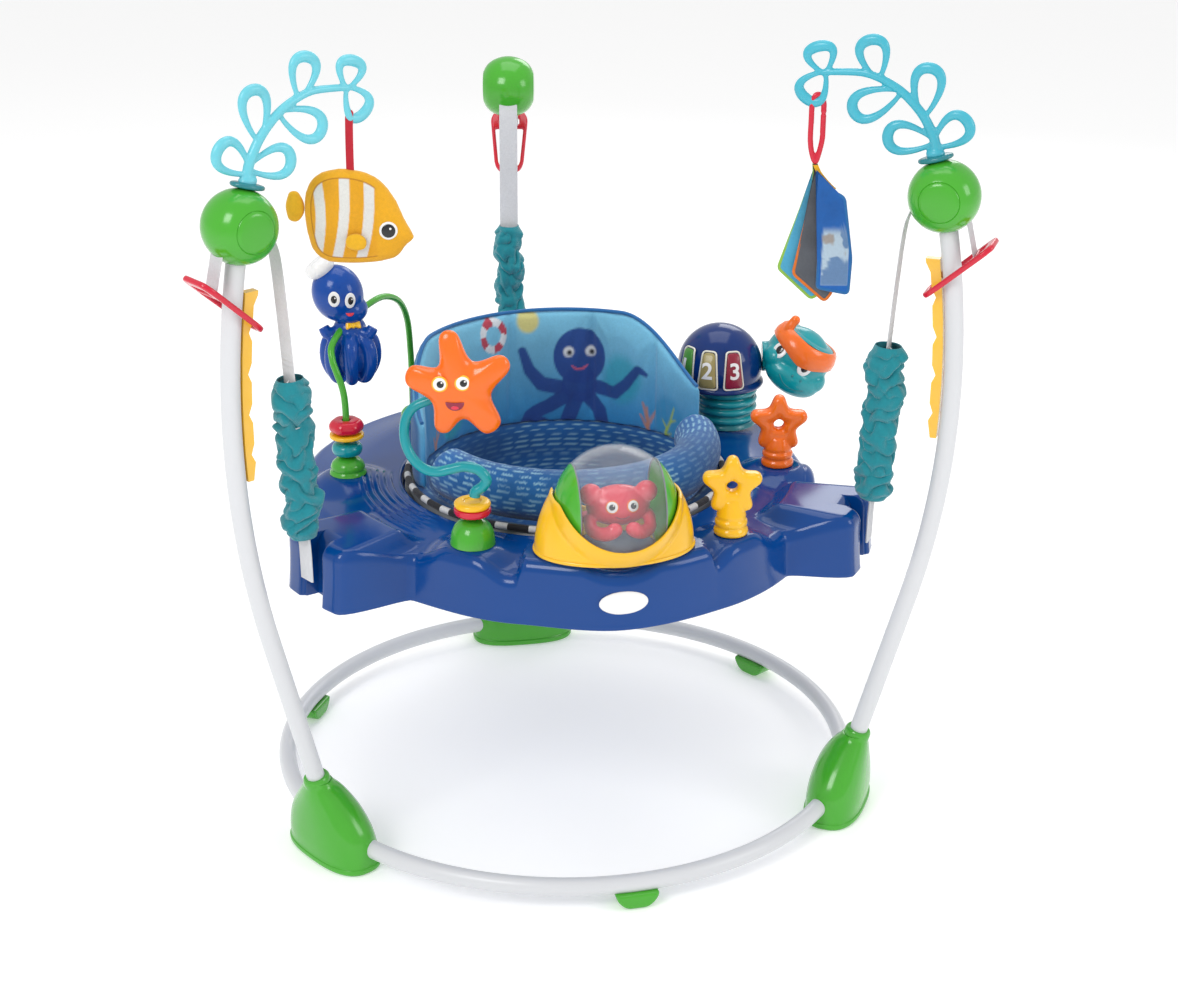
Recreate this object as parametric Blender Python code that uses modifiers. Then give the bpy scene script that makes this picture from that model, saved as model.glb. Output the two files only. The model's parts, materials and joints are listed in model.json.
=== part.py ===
"""Free-standing baby activity jumper, in metres, +Z up, the child facing -Y.

Three bowed posts stand on a floor ring and hold a round activity tray on sprung straps.
A fabric seat turns in the tray's centre, and sea toys stand on the tray and hang from
two arms. Lengths below are given from the ring's centre on the floor; RING_CENTRE moves
that point so that the whole object's box is centred on the origin.
"""

import math

import bmesh
import bpy
from mathutils import Matrix, Vector

# ---------------------------------------------------------------- driving dimensions
RING_CENTRE = Vector((0.0, -0.0677, 0.0))
POSTS = {"left": 210.0, "right": 330.0, "rear": 90.0}
HEAD_TURNS = {"left": 0.0, "right": 0.0, "rear": -9.5}      # how far each post's top unit is turned on it
HEAD_RADIUS = 0.456                # where the post's centreline runs up into its top unit

TUBE_RADIUS = 0.011
TUBE_WALL = 0.0014
BORE_RADIUS = 0.0122
GAP = 0.0005

RING_RADIUS = 0.365
RING_HEIGHT = 0.0275

POST_FOOT_RADIUS = 0.373        # where the post meets the foot, from the ring's centre
POST_FOOT_HEIGHT = 0.040
POST_LEAN = 0.2636              # outward run for each metre of height, below the bow
BOW_START = 0.300
BOW_END = 0.770
POST_RETURN = -0.190            # run for each metre of height, above the bow

FOOT_TOP = 0.112
POD_HEIGHT = 0.800
POD_RADIUS = 0.043
POD_HALF_WIDTH = 0.035

RACK_TOP = 0.728
RACK_BOTTOM = 0.512
RACK_PITCH = 0.0465
RACK_BASE_DEPTH = 0.0075
RACK_TOOTH_DEPTH = 0.0045
RACK_HEAD_DEPTH = 0.0165
RACK_WIDTH = 0.011

WEBBING_WIDTH = 0.024
WEBBING_THICKNESS = 0.0016

SLEEVE_TOP = (0.400, 0.618)     # radius and height of the gathered sleeve's two ends
SLEEVE_BOTTOM = (0.3915, 0.425)

TRAY_TOP = 0.405
TRAY_RIM_BOTTOM = 0.340
TRAY_WALL = 0.004
TRAY_HOLE_RADIUS = 0.176
LEDGE_RADIUS = 0.205
LEDGE_TOP = 0.384
LOBE_REACH = 0.388
LOBE_RISE = 0.012

SEAT_TURN = 12.0                # how far the seat is swivelled to the child's right
SEAT_BACK_TOP = 0.560

BALL_RADIUS = 0.071
BALL_WALL = 0.0030
BALL_POLE_ANGLE = 14.0          # the shell's open caps, as a half angle about its spin axis
BALL_CENTRE = Vector((0.008, -0.2780, 0.4715))
CRADLE_HALF_WIDTH = 0.0925       # the yellow cradle round the see-through ball

FACING = -10.7                  # direction, in plan, of the hanging and upright toys' faces


def polar(radius, azimuth, height):
    """A point from its radius and azimuth in degrees about the ring's centre."""
    angle = math.radians(azimuth)
    return Vector((radius * math.cos(angle), radius * math.sin(angle), height))


BEAD_POST = polar(0.272, 175.6, 0.414)
STALK_POST = polar(0.268, 236.5, 0.414)
YELLOW_STAR_POST = polar(0.289, 301.7, 0.414)
ORANGE_STAR_POST = polar(0.266, 349.7, 0.416)
TURTLE_CENTRE = polar(0.275, 32.0, 0.485)
TURTLE_RADIUS = 0.056

# ---------------------------------------------------------------- scene and materials
for leftover in list(bpy.data.objects):
    bpy.data.objects.remove(leftover)


def new_collection(name):
    made = bpy.data.collections.new(name)
    bpy.context.scene.collection.children.link(made)
    return made


PARTS = new_collection("activity_jumper")
CUTTERS = new_collection("cutters")


def new_material(name, colour, roughness, metallic=0.0):
    made = bpy.data.materials.new(name)
    made.use_nodes = True
    shader = made.node_tree.nodes["Principled BSDF"]
    shader.inputs["Base Color"].default_value = (*colour, 1.0)
    shader.inputs["Roughness"].default_value = roughness
    shader.inputs["Metallic"].default_value = metallic
    return made


WHITE_TUBE = new_material("white_painted_tube", (0.75, 0.76, 0.78), 0.3)
GREEN = new_material("green_plastic", (0.06, 0.42, 0.03), 0.25)
BLUE = new_material("blue_plastic", (0.01, 0.08, 0.38), 0.15)
YELLOW = new_material("yellow_plastic", (0.9, 0.55, 0.02), 0.3)
RED = new_material("red_plastic", (0.65, 0.01, 0.05), 0.3)
ORANGE = new_material("orange_plastic", (0.85, 0.13, 0.01), 0.3)
TEAL = new_material("teal_plastic", (0.01, 0.40, 0.42), 0.25)
AQUA = new_material("aqua_plastic", (0.10, 0.55, 0.65), 0.35)
CLEAR = new_material("clear_plastic", (0.75, 0.85, 0.90), 0.05)
GREY = new_material("grey_plastic", (0.25, 0.27, 0.30), 0.4)
WEBBING = new_material("white_webbing", (0.65, 0.66, 0.70), 0.8)
SLEEVE_CLOTH = new_material("teal_cloth", (0.01, 0.33, 0.40), 0.85)
SEAT_CLOTH = new_material("seat_cloth", (0.05, 0.30, 0.65), 0.9)
STEEL = new_material("steel", (0.60, 0.60, 0.62), 0.3, 1.0)
BOARD = new_material("printed_cloth", (0.10, 0.30, 0.60), 0.6)


# ---------------------------------------------------------------- modelling helpers
def new_empty(name, parent=None, location=(0, 0, 0), rotation=(0, 0, 0)):
    """An axis that pieces hang on. It isn't a piece itself."""
    made = bpy.data.objects.new(name, None)
    made.parent = parent
    made.location = location
    made.rotation_euler = rotation
    PARTS.objects.link(made)
    return made


def new_piece(name, data, paint, parent, location=(0, 0, 0), rotation=(0, 0, 0)):
    """A named piece, or a cutter where there is no paint."""
    made = bpy.data.objects.new(name, data)
    made.parent = parent
    made.location = location
    made.rotation_euler = rotation
    if paint is None:
        CUTTERS.objects.link(made)
        made.hide_render = True
        made.display_type = "WIRE"
    else:
        data.materials.append(paint)
        PARTS.objects.link(made)
    return made


def mesh_of(name, shape, smooth=True):
    """A mesh datablock from a bmesh, shaded smooth but for its real edges."""
    bmesh.ops.recalc_face_normals(shape, faces=shape.faces)
    mesh = bpy.data.meshes.new(name)
    shape.to_mesh(mesh)
    shape.free()
    if smooth:
        mesh.shade_smooth()
        mesh.set_sharp_from_angle(angle=math.radians(40))
    return mesh


def ball(name, radii, paint, parent, location=(0, 0, 0), rotation=(0, 0, 0), around=16, up=10):
    """An ellipsoid."""
    shape = bmesh.new()
    bmesh.ops.create_uvsphere(shape, u_segments=around, v_segments=up, radius=1.0)
    bmesh.ops.transform(shape, matrix=Matrix.Diagonal((*radii, 1.0)), verts=shape.verts)
    return new_piece(name, mesh_of(name, shape), paint, parent, location, rotation)


def barrel(
    name, low_radius, high_radius, height, paint, parent, location=(0, 0, 0), rotation=(0, 0, 0), around=20
):
    """A cylinder or cone that stands on its location."""
    shape = bmesh.new()
    lift = Matrix.Translation((0, 0, height / 2))
    bmesh.ops.create_cone(
        shape, cap_ends=True, segments=around, radius1=low_radius, radius2=high_radius,
        depth=height, matrix=lift,
    )
    return new_piece(name, mesh_of(name, shape), paint, parent, location, rotation)


def block(name, sides, paint, parent, location=(0, 0, 0), rotation=(0, 0, 0)):
    """A box centred on its location."""
    shape = bmesh.new()
    bmesh.ops.create_cube(shape, size=1.0, matrix=Matrix.Diagonal((*sides, 1.0)))
    return new_piece(name, mesh_of(name, shape, smooth=False), paint, parent, location, rotation)


def tube(
    name, points, radius, paint, parent, closed=False, corners=2, location=(0, 0, 0), rotation=(0, 0, 0)
):
    """A round bar along points."""
    curve = bpy.data.curves.new(name, "CURVE")
    curve.dimensions = "3D"
    curve.bevel_depth = radius
    curve.bevel_resolution = corners
    curve.use_fill_caps = not closed
    spline = curve.splines.new("POLY")
    spline.points.add(len(points) - 1)
    for spot, point in zip(spline.points, points):
        spot.co = (*point, 1.0)
    spline.use_cyclic_u = closed
    return new_piece(name, curve, paint, parent, location, rotation)


def plate(name, outlines, thickness, paint, parent, location=(0, 0, 0), rotation=(0, 0, 0)):
    """A flat plate in the local XY plane: one outline and the holes in it."""
    curve = bpy.data.curves.new(name, "CURVE")
    curve.dimensions = "2D"
    curve.fill_mode = "BOTH"
    curve.extrude = thickness / 2
    for outline in outlines:
        spline = curve.splines.new("POLY")
        spline.points.add(len(outline) - 1)
        for spot, point in zip(spline.points, outline):
            spot.co = (point[0], point[1], 0.0, 1.0)
        spline.use_cyclic_u = True
    return new_piece(name, curve, paint, parent, location, rotation)


def as_mesh(piece):
    """The same piece as a welded mesh, so that it can be cut, joined or be a cutter."""
    bpy.context.view_layer.update()
    graph = bpy.context.evaluated_depsgraph_get()
    mesh = bpy.data.meshes.new_from_object(piece.evaluated_get(graph))
    shape = bmesh.new()
    shape.from_mesh(mesh)
    bmesh.ops.remove_doubles(shape, verts=shape.verts, dist=0.00001)
    bmesh.ops.recalc_face_normals(shape, faces=shape.faces)
    shape.to_mesh(mesh)
    shape.free()
    name, parent, home = piece.name, piece.parent, piece.users_collection[0]
    world = piece.matrix_world.copy()
    bpy.data.objects.remove(piece)
    made = bpy.data.objects.new(name, mesh)
    made.parent = parent
    home.objects.link(made)
    bpy.context.view_layer.update()
    made.matrix_world = world
    if home is CUTTERS:
        made.hide_render = True
        made.display_type = "WIRE"
    return made


def turned(name, profile, paint, parent, steps=24, ring=False, location=(0, 0, 0), rotation=(0, 0, 0)):
    """A turned solid. profile is (radius, height), down the outer side; a ring's profile closes on itself."""
    shape = bmesh.new()
    corners = [shape.verts.new((radius, 0.0, height)) for radius, height in profile]
    for first, second in zip(corners, corners[1:]):
        shape.edges.new((first, second))
    if ring:
        shape.edges.new((corners[-1], corners[0]))
    mesh = bpy.data.meshes.new(name)
    shape.to_mesh(mesh)
    shape.free()
    made = new_piece(name, mesh, paint, parent, location, rotation)
    screw = made.modifiers.new("turned", "SCREW")
    screw.angle = math.tau
    screw.steps = steps
    screw.render_steps = steps
    screw.use_merge_vertices = True
    screw.merge_threshold = 0.00001
    screw.use_smooth_shade = True
    return made


def loft(name, sections, paint, parent, joined=False, location=(0, 0, 0), rotation=(0, 0, 0)):
    """A skin over unlike sections with equal numbers of points; joined closes the last on the first."""
    shape = bmesh.new()
    rings = [[shape.verts.new(point) for point in section] for section in sections]
    pairs = list(zip(rings, rings[1:]))
    if joined:
        pairs.append((rings[-1], rings[0]))
    count = len(rings[0])
    for near, far in pairs:
        for i in range(count):
            j = (i + 1) % count
            shape.faces.new((near[i], near[j], far[j], far[i]))
    if not joined:
        shape.faces.new(rings[0])
        shape.faces.new(rings[-1])
    return new_piece(name, mesh_of(name, shape), paint, parent, location, rotation)


def add_boolean(piece, other, operation):
    change = piece.modifiers.new(operation.lower() + "_" + other.name, "BOOLEAN")
    change.operation = operation
    change.object = other
    change.solver = "EXACT"


def cut(piece, *cutters):
    for cutter in cutters:
        add_boolean(piece, cutter, "DIFFERENCE")


def join(piece, *guides):
    for guide in guides:
        add_boolean(piece, guide, "UNION")


def circle(radius, count):
    angles = [math.tau * i / count for i in range(count)]
    return [(radius * math.cos(angle), radius * math.sin(angle)) for angle in angles]


def bump(distance, flat, reach):
    """1 within flat, falling smoothly to 0 at reach."""
    share = min(1.0, max(0.0, (reach - distance) / (reach - flat)))
    return share * share * (3 - 2 * share)


def turn_between(first, second):
    """The angle between two azimuths, 0 to 180 degrees."""
    return abs((first - second + 180.0) % 360.0 - 180.0)


STANDING = (math.radians(90), 0, 0)     # stands a plate up: its Y becomes height

# ---------------------------------------------------------------- floor frame
ORIGIN = new_empty("ring_centre", location=RING_CENTRE)


def post_radius(height):
    """How far the post's centreline stands out at a height: a lean, a bow, and a short return."""
    if height <= BOW_START:
        return POST_FOOT_RADIUS + POST_LEAN * (height - POST_FOOT_HEIGHT)
    bend = (POST_RETURN - POST_LEAN) / (BOW_END - BOW_START)
    rise = min(height, BOW_END) - BOW_START
    bowed = post_radius(BOW_START) + POST_LEAN * rise + bend * rise * rise / 2
    return bowed + POST_RETURN * max(0.0, height - BOW_END)


def post_line(low, high, count):
    """Points on the post's centreline, in the post's own radial plane."""
    return [
        (post_radius(low + (high - low) * i / (count - 1)), 0.0, low + (high - low) * i / (count - 1))
        for i in range(count)
    ]


def ring_arc(start, end, count):
    return [polar(RING_RADIUS, start + (end - start) * i / (count - 1), RING_HEIGHT) for i in range(count)]


def make_foot(side, stand):
    """A tall moulded foot: a long low base that narrows to a collar round the post."""
    shapes = (
        (0.0000, 0.369, 0.034, 0.0710),
        (0.0050, 0.369, 0.037, 0.0730),
        (0.0400, 0.371, 0.036, 0.0690),
        (0.0680, 0.375, 0.031, 0.0520),
        (0.0920, 0.382, 0.023, 0.0310),
        (FOOT_TOP, post_radius(FOOT_TOP), 0.0165, 0.0165),
    )
    around = 16
    sections = []
    for height, centre, depth, width in shapes:
        section = []
        for i in range(around):
            angle = math.tau * (i + 0.5) / around
            across, along = math.cos(angle), math.sin(angle)
            section.append(
                (
                    centre + depth * math.copysign(abs(across) ** 0.8, across),
                    width * math.copysign(abs(along) ** 0.8, along),
                    height,
                )
            )
        sections.append(section)
    foot = loft("foot_" + side, sections, GREEN, stand)
    socket = as_mesh(tube("foot_socket_" + side, post_line(0.0455, 0.16, 4), BORE_RADIUS, None, stand))
    spread = 14.0
    azimuth = POSTS[side]
    bore = as_mesh(
        tube("foot_bore_" + side, ring_arc(azimuth - spread, azimuth + spread, 9), BORE_RADIUS, None, ORIGIN)
    )
    cut(foot, socket, bore)


def make_steel_tube(name, points, inner_points, parent):
    """A bent steel tube, hollow from end to end."""
    steel = as_mesh(tube(name, points, TUBE_RADIUS, WHITE_TUBE, parent))
    hollow = as_mesh(tube(name + "_hollow", inner_points, TUBE_RADIUS - TUBE_WALL, None, parent))
    cut(steel, hollow)


def make_pad_foot(name, azimuth):
    """A small half-moon foot that clips under the floor ring."""
    place = polar(RING_RADIUS, azimuth, 0)
    stand = new_empty(name + "_place", ORIGIN, place, (0, 0, math.radians(azimuth + 90)))
    outline = [(-0.026, 0.029), (-0.0255, 0.020), (-0.021, 0.008), (-0.014, 0.0)]
    outline += [(-x, z) for x, z in reversed(outline)]
    pad = as_mesh(plate("pad_foot_" + name, [outline], 0.036, GREEN, stand, rotation=STANDING))
    bore = as_mesh(
        tube("pad_bore_" + name, ring_arc(azimuth - 9, azimuth + 9, 7), BORE_RADIUS, None, ORIGIN)
    )
    cut(pad, bore)


def make_floor_frame():
    arcs = {"front": (210.0, 330.0), "right": (330.0, 450.0), "left": (90.0, 210.0)}
    for name, (start, end) in arcs.items():
        points = ring_arc(start + 1.0, end - 1.0, 17)
        past_start, past_end = ring_arc(start + 0.7, end - 0.7, 2)
        make_steel_tube("base_tube_" + name, points, [past_start, *points, past_end], ORIGIN)
    for name, azimuth in {"front": 273.0, "right": 32.0, "left": 152.0}.items():
        make_pad_foot(name, azimuth)


# ---------------------------------------------------------------- posts, pods and height adjusters
STRAP_LINE = (
    (0.4919, 0.7385), (0.4890, 0.7500), (0.4860, 0.7620), (0.4830, 0.7740), (0.4770, 0.7920),
    (0.4670, 0.8090), (0.4528, 0.8160), (0.4390, 0.8110), (0.4270, 0.7980), (0.4170, 0.7800),
    (0.4110, 0.7580), (0.4060, 0.7000), (0.4005, 0.6130),
)
RING_HOOK = (0.4415, 0.6865)    # inner bar of the adjuster ring, radius and height
RING_PULL = (0.5120, 0.7500)    # outer bar, the grip


def band(name, line, thickness, width, paint, parent):
    """A flat band that follows a line of (radius, height) in the post's plane."""
    upper, lower = [], []
    for i, point in enumerate(line):
        before = Vector(line[max(0, i - 1)])
        after = Vector(line[min(len(line) - 1, i + 1)])
        along = (after - before).normalized()
        across = Vector((-along.y, along.x)) * thickness / 2
        upper.append(Vector(point) + across)
        lower.append(Vector(point) - across)
    outline = [tuple(p) for p in upper] + [tuple(p) for p in reversed(lower)]
    return plate(name, [outline], width, paint, parent, rotation=STANDING)


def make_pod(side, stand, head):
    """The rounded housing on top of a post. The strap runs over a roller inside it."""
    centre = (post_radius(POD_HEIGHT), 0, POD_HEIGHT)
    pod = ball(
        "pod_" + side, (POD_RADIUS, POD_HALF_WIDTH, POD_RADIUS), GREEN, head, centre, around=16, up=10
    )
    socket = as_mesh(tube("pod_socket_" + side, post_line(0.730, 0.786, 4), BORE_RADIUS, None, stand))
    slot = as_mesh(band("pod_slot_" + side, STRAP_LINE[1:11], 0.006, WEBBING_WIDTH + 0.003, None, head))
    cut(pod, socket, slot)
    if side != "rear":
        peg_hole = block("arm_socket_" + side, (0.0150, 0.0085, 0.030), None, head, (0.4405, 0, 0.846))
        cut(pod, peg_hole)


def make_height_rack(side, stand):
    """The notched strip on the post's inner face: the seat has a height for each notch."""
    back = [
        (post_radius(z) - TUBE_RADIUS - 2 * GAP, z)
        for z in [RACK_BOTTOM + (RACK_TOP - RACK_BOTTOM) * i / 6 for i in range(7)]
    ]

    def face(height, depth):
        return (post_radius(height) - TUBE_RADIUS - 2 * GAP - depth, height)

    tooth = RACK_BASE_DEPTH + RACK_TOOTH_DEPTH
    front = [face(RACK_TOP, RACK_HEAD_DEPTH), face(RACK_TOP - 0.005, RACK_HEAD_DEPTH)]
    front.append(face(RACK_TOP - 0.016, tooth))
    for step in range(4):
        notch = RING_HOOK[1] - 0.004 - RACK_PITCH * step
        front.append(face(notch + 0.012, tooth))
        front.append(face(notch, RACK_BASE_DEPTH))
        front.append(face(notch - 0.010, tooth))
    front.append(face(RACK_BOTTOM, RACK_BASE_DEPTH))
    plate("height_rack_" + side, [back + front], RACK_WIDTH, YELLOW, stand, rotation=STANDING)


def make_adjuster_ring(side, stand):
    """The pull ring: a flat plate with a window round the post and a slot for the strap."""
    hook, pull = Vector(RING_HOOK), Vector(RING_PULL)
    length = (pull - hook).length
    tilt = math.atan2(pull.y - hook.y, pull.x - hook.x)
    edge = [(-0.0035, 0.0130), (0.0030, 0.0180), (0.0120, 0.0205), (length - 0.0100, 0.0262)]
    edge.append((length + 0.0035, 0.0200))
    window = [(0.0042, 0.0120), (0.0110, 0.0150), (length - 0.0260, 0.0198)]
    slot = [(length - 0.0200, 0.0140), (length - 0.0085, 0.0140)]
    outlines = [half + [(x, -y) for x, y in reversed(half)] for half in (edge, window, slot)]
    plate(
        "adjuster_ring_" + side, outlines, 0.0060, RED, stand, location=(hook.x, 0, hook.y),
        rotation=(0, -tilt, 0),
    )


def make_spring_unit(side, stand):
    """The extension spring, the gathered sleeve round it, and the straps above and below."""
    top, bottom = Vector(SLEEVE_TOP), Vector(SLEEVE_BOTTOM)
    length = (top - bottom).length
    lean = math.atan2(top.x - bottom.x, top.y - bottom.y)
    axis = new_empty("sleeve_axis_" + side, stand, (bottom.x, 0, bottom.y), (0, lean, 0))

    gathers = 5
    outer = [(0.0185, length)]
    for i in range(gathers):
        low = length * (gathers - i - 1) / gathers
        bulge = 0.0275 if i % 2 else 0.0250
        outer.append((bulge, low + 0.55 * length / gathers))
        outer.append((0.0220, low + 0.05 * length / gathers))
    outer[-1] = (0.0195, 0.0)
    inner = [(0.0170, 0.0), (0.0190, length / 2), (0.0165, length)]
    turned("spring_sleeve_" + side, outer + inner, SLEEVE_CLOTH, axis, steps=12, ring=True)

    turns, steps = 6, 6
    spring_low, spring_high = 0.018, length - 0.012
    helix = [
        (
            0.0095 * math.cos(math.tau * i / steps),
            0.0095 * math.sin(math.tau * i / steps),
            spring_low + (spring_high - spring_low) * i / (turns * steps),
        )
        for i in range(turns * steps + 1)
    ]
    tube("spring_" + side, helix, 0.0014, STEEL, axis, corners=0)

    band("strap_" + side, STRAP_LINE, WEBBING_THICKNESS, WEBBING_WIDTH, WEBBING, stand)
    tail = [(0.3921, 0.4380), (0.3905, 0.4050), (0.3900, 0.3720)]
    band("lower_strap_" + side, tail, 2 * WEBBING_THICKNESS, WEBBING_WIDTH, WEBBING, stand)


def make_post(side):
    """A post with its foot, and the top unit that is turned a little on it."""
    stand = new_empty("post_" + side, ORIGIN, rotation=(0, 0, math.radians(POSTS[side])))
    azimuth = POSTS[side] + HEAD_TURNS[side]
    start = polar(HEAD_RADIUS, POSTS[side], 0) - polar(HEAD_RADIUS, azimuth, 0)
    head = new_empty("head_" + side, ORIGIN, start, (0, 0, math.radians(azimuth)))
    points = post_line(0.0465, 0.783, 15)
    past_start, past_end = post_line(0.0445, 0.785, 2)
    make_steel_tube("leg_tube_" + side, points, [past_start, *points, past_end], stand)
    make_foot(side, stand)
    make_pod(side, stand, head)
    make_height_rack(side, head)
    make_adjuster_ring(side, head)
    make_spring_unit(side, head)
    return head


# ---------------------------------------------------------------- tray
TRAY_RIM = (
    (0, 0.318), (30, 0.338), (60, 0.342), (90, 0.344), (120, 0.346), (150, 0.346), (180, 0.328),
    (225, 0.304), (250, 0.314), (272, 0.332), (295, 0.324), (330, 0.316),
)
TRAY_LOBES = (210.0, 330.0, 91.5)      # azimuths of the lobes that the straps hold
PLATFORM_RISE = 0.0135
MOUNDS = ((BEAD_POST, 0.026), (STALK_POST, 0.028), (YELLOW_STAR_POST, 0.024), (ORANGE_STAR_POST, 0.028))


def rim_radius(azimuth):
    """The tray's outer edge: a soft round outline with a lobe at each strap."""
    stops = list(TRAY_RIM) + [(TRAY_RIM[0][0] + 360, TRAY_RIM[0][1])]
    azimuth = azimuth % 360.0
    for (start, near), (end, far) in zip(stops, stops[1:]):
        if start <= azimuth <= end:
            share = (azimuth - start) / (end - start)
            share = share * share * (3 - 2 * share)
            plain = near + (far - near) * share
            break
    lobe = max(bump(turn_between(azimuth, middle), 7.0, 14.5) for middle in TRAY_LOBES)
    return plain + (LOBE_REACH - plain) * lobe


def tray_height(point):
    """The tray's top surface: flat, with raised lobes, the dome's platform and the toys' mounds."""
    azimuth = math.degrees(math.atan2(point.y, point.x))
    radius = math.hypot(point.x, point.y)
    outward = bump(0.33 - radius, 0.0, 0.06)
    rise = max(LOBE_RISE * outward * bump(turn_between(azimuth, middle), 7.0, 15.0) for middle in TRAY_LOBES)
    front = bump(turn_between(azimuth, 272.0), 20.0, 28.0) * bump(0.222 - radius, 0.0, 0.012)
    rise = max(rise, PLATFORM_RISE * front)
    for mound, reach in MOUNDS:
        distance = math.hypot(point.x - mound.x, point.y - mound.y)
        rise = max(rise, (mound.z - TRAY_TOP) * bump(distance, reach, reach + 0.020))
    return TRAY_TOP + rise


def tray_section(azimuth):
    """The moulded wall at one azimuth, from the seat hole out over the top, down the skirt and back below."""
    rim = rim_radius(azimuth)
    edge = rim - 0.015
    inner = 0.212

    def top(radius, drop=0.0):
        spot = polar(radius, azimuth, 0)
        return polar(radius, azimuth, tray_height(spot) - drop)

    stations = [inner + (edge - inner) * share for share in (0.0, 0.25, 0.5, 0.75, 1.0)]
    section = [
        polar(TRAY_HOLE_RADIUS, azimuth, LEDGE_TOP),
        polar(LEDGE_RADIUS, azimuth, LEDGE_TOP),
        polar(LEDGE_RADIUS + 0.001, azimuth, TRAY_TOP - 0.004),
    ]
    section += [top(radius) for radius in stations]
    shoulder = top(edge).z
    section += [
        polar(rim - 0.004, azimuth, shoulder - 0.009),
        polar(rim, azimuth, TRAY_RIM_BOTTOM + 0.008),
        polar(rim - 0.001, azimuth, TRAY_RIM_BOTTOM),
        polar(rim - TRAY_WALL - 0.001, azimuth, TRAY_RIM_BOTTOM + 0.001),
        polar(rim - 2 * TRAY_WALL, azimuth, shoulder - 0.012),
        top(stations[3], TRAY_WALL),
        top(stations[1], TRAY_WALL),
        polar(inner, azimuth, TRAY_TOP - TRAY_WALL),
        polar(LEDGE_RADIUS + 0.004, azimuth, LEDGE_TOP - TRAY_WALL),
        polar(TRAY_HOLE_RADIUS, azimuth, LEDGE_TOP - TRAY_WALL),
    ]
    return section


def make_tray(stands):
    sides = 64
    tray = loft("tray", [tray_section(360.0 * i / sides) for i in range(sides)], BLUE, ORIGIN, joined=True)
    well = ball("ball_well", (BALL_RADIUS + 0.002,) * 3, None, ORIGIN, BALL_CENTRE, around=20, up=12)
    cut(tray, well)
    for side, stand in stands.items():
        fork = block("fork_" + side, (0.050, 0.0330, 0.14), None, stand, (LOBE_REACH + 0.004, 0, 0.385))
        cut(tray, fork)
    low, high = LEDGE_TOP + GAP, LEDGE_TOP + 0.004
    turned(
        "seat_track", [(0.2035, high), (0.2035, low), (0.181, low), (0.181, high)], GREY, ORIGIN,
        steps=28, ring=True,
    )


# ---------------------------------------------------------------- seat
def make_seat():
    """The soft seat that turns in the tray: a hoop, a hanging bucket, a tall back and a front roll."""
    pivot = new_empty("seat_pivot", ORIGIN, (0, 0, 0.390), (0, 0, math.radians(SEAT_TURN)))
    hoop = [(0.1920 + x, 0.0065 + z) for x, z in reversed(circle(0.0070, 6))]
    turned("seat_ring", hoop, GREY, pivot, steps=36, ring=True)

    flange = 0.0145
    outer = [(0.192, flange + 0.003), (0.192, flange), (0.181, flange), (0.1715, 0.006), (0.1700, -0.035),
             (0.1500, -0.080), (0.1000, -0.102), (0.0, -0.106)]
    inner = [(0.0, -0.103), (0.0990, -0.099), (0.1480, -0.0775), (0.1670, -0.034), (0.1685, 0.008),
             (0.1790, flange + 0.003)]
    sling = turned("seat_sling", outer + inner, SEAT_CLOTH, pivot, steps=22)
    join_profile_ends(sling)
    for side in (-1, 1):
        aim = Vector((side * 0.75, -0.45, -0.60)).normalized()
        hole = barrel(
            "leg_hole_" + ("left" if side < 0 else "right"), 0.050, 0.050, 0.120, None, pivot,
            Vector((side * 0.085, -0.060, -0.060)), aim.to_track_quat("Z", "Y").to_euler(), around=16,
        )
        cut(sling, hole)

    low = flange + 0.003 + GAP
    sections = []
    for i in range(15):
        aside = -88.0 + 176.0 * i / 14
        top = 0.490 + (SEAT_BACK_TOP - 0.490) * bump(abs(aside), 45.0, 90.0) - 0.390
        tuck = 0.010 * bump(88.0 - abs(aside), 0.0, 8.0)
        azimuth = 90.0 + aside
        sections.append(
            [
                polar(0.178 + tuck / 2, azimuth, low),
                polar(0.191, azimuth, low),
                polar(0.1955, azimuth, (low + top) / 2),
                polar(0.1930, azimuth, top - 0.004),
                polar(0.1860, azimuth, top),
                polar(0.1800, azimuth, top - 0.006),
                polar(0.1760 + tuck / 2, azimuth, (low + top) / 2),
            ]
        )
    loft("seat_back", sections, SEAT_CLOTH, pivot)

    roll = []
    for i in range(15):
        aside = -84.0 + 168.0 * i / 14
        roll.append(polar(0.166, 270.0 + aside, low + 0.0345))
    tube("seat_bolster", roll, 0.0330, SEAT_CLOTH, pivot, corners=2)


def join_profile_ends(piece):
    """Closes a turned shell's profile along its free edge, between its first and last point."""
    shape = bmesh.new()
    shape.from_mesh(piece.data)
    shape.verts.ensure_lookup_table()
    shape.edges.new((shape.verts[-1], shape.verts[0]))
    shape.to_mesh(piece.data)
    shape.free()


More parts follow.
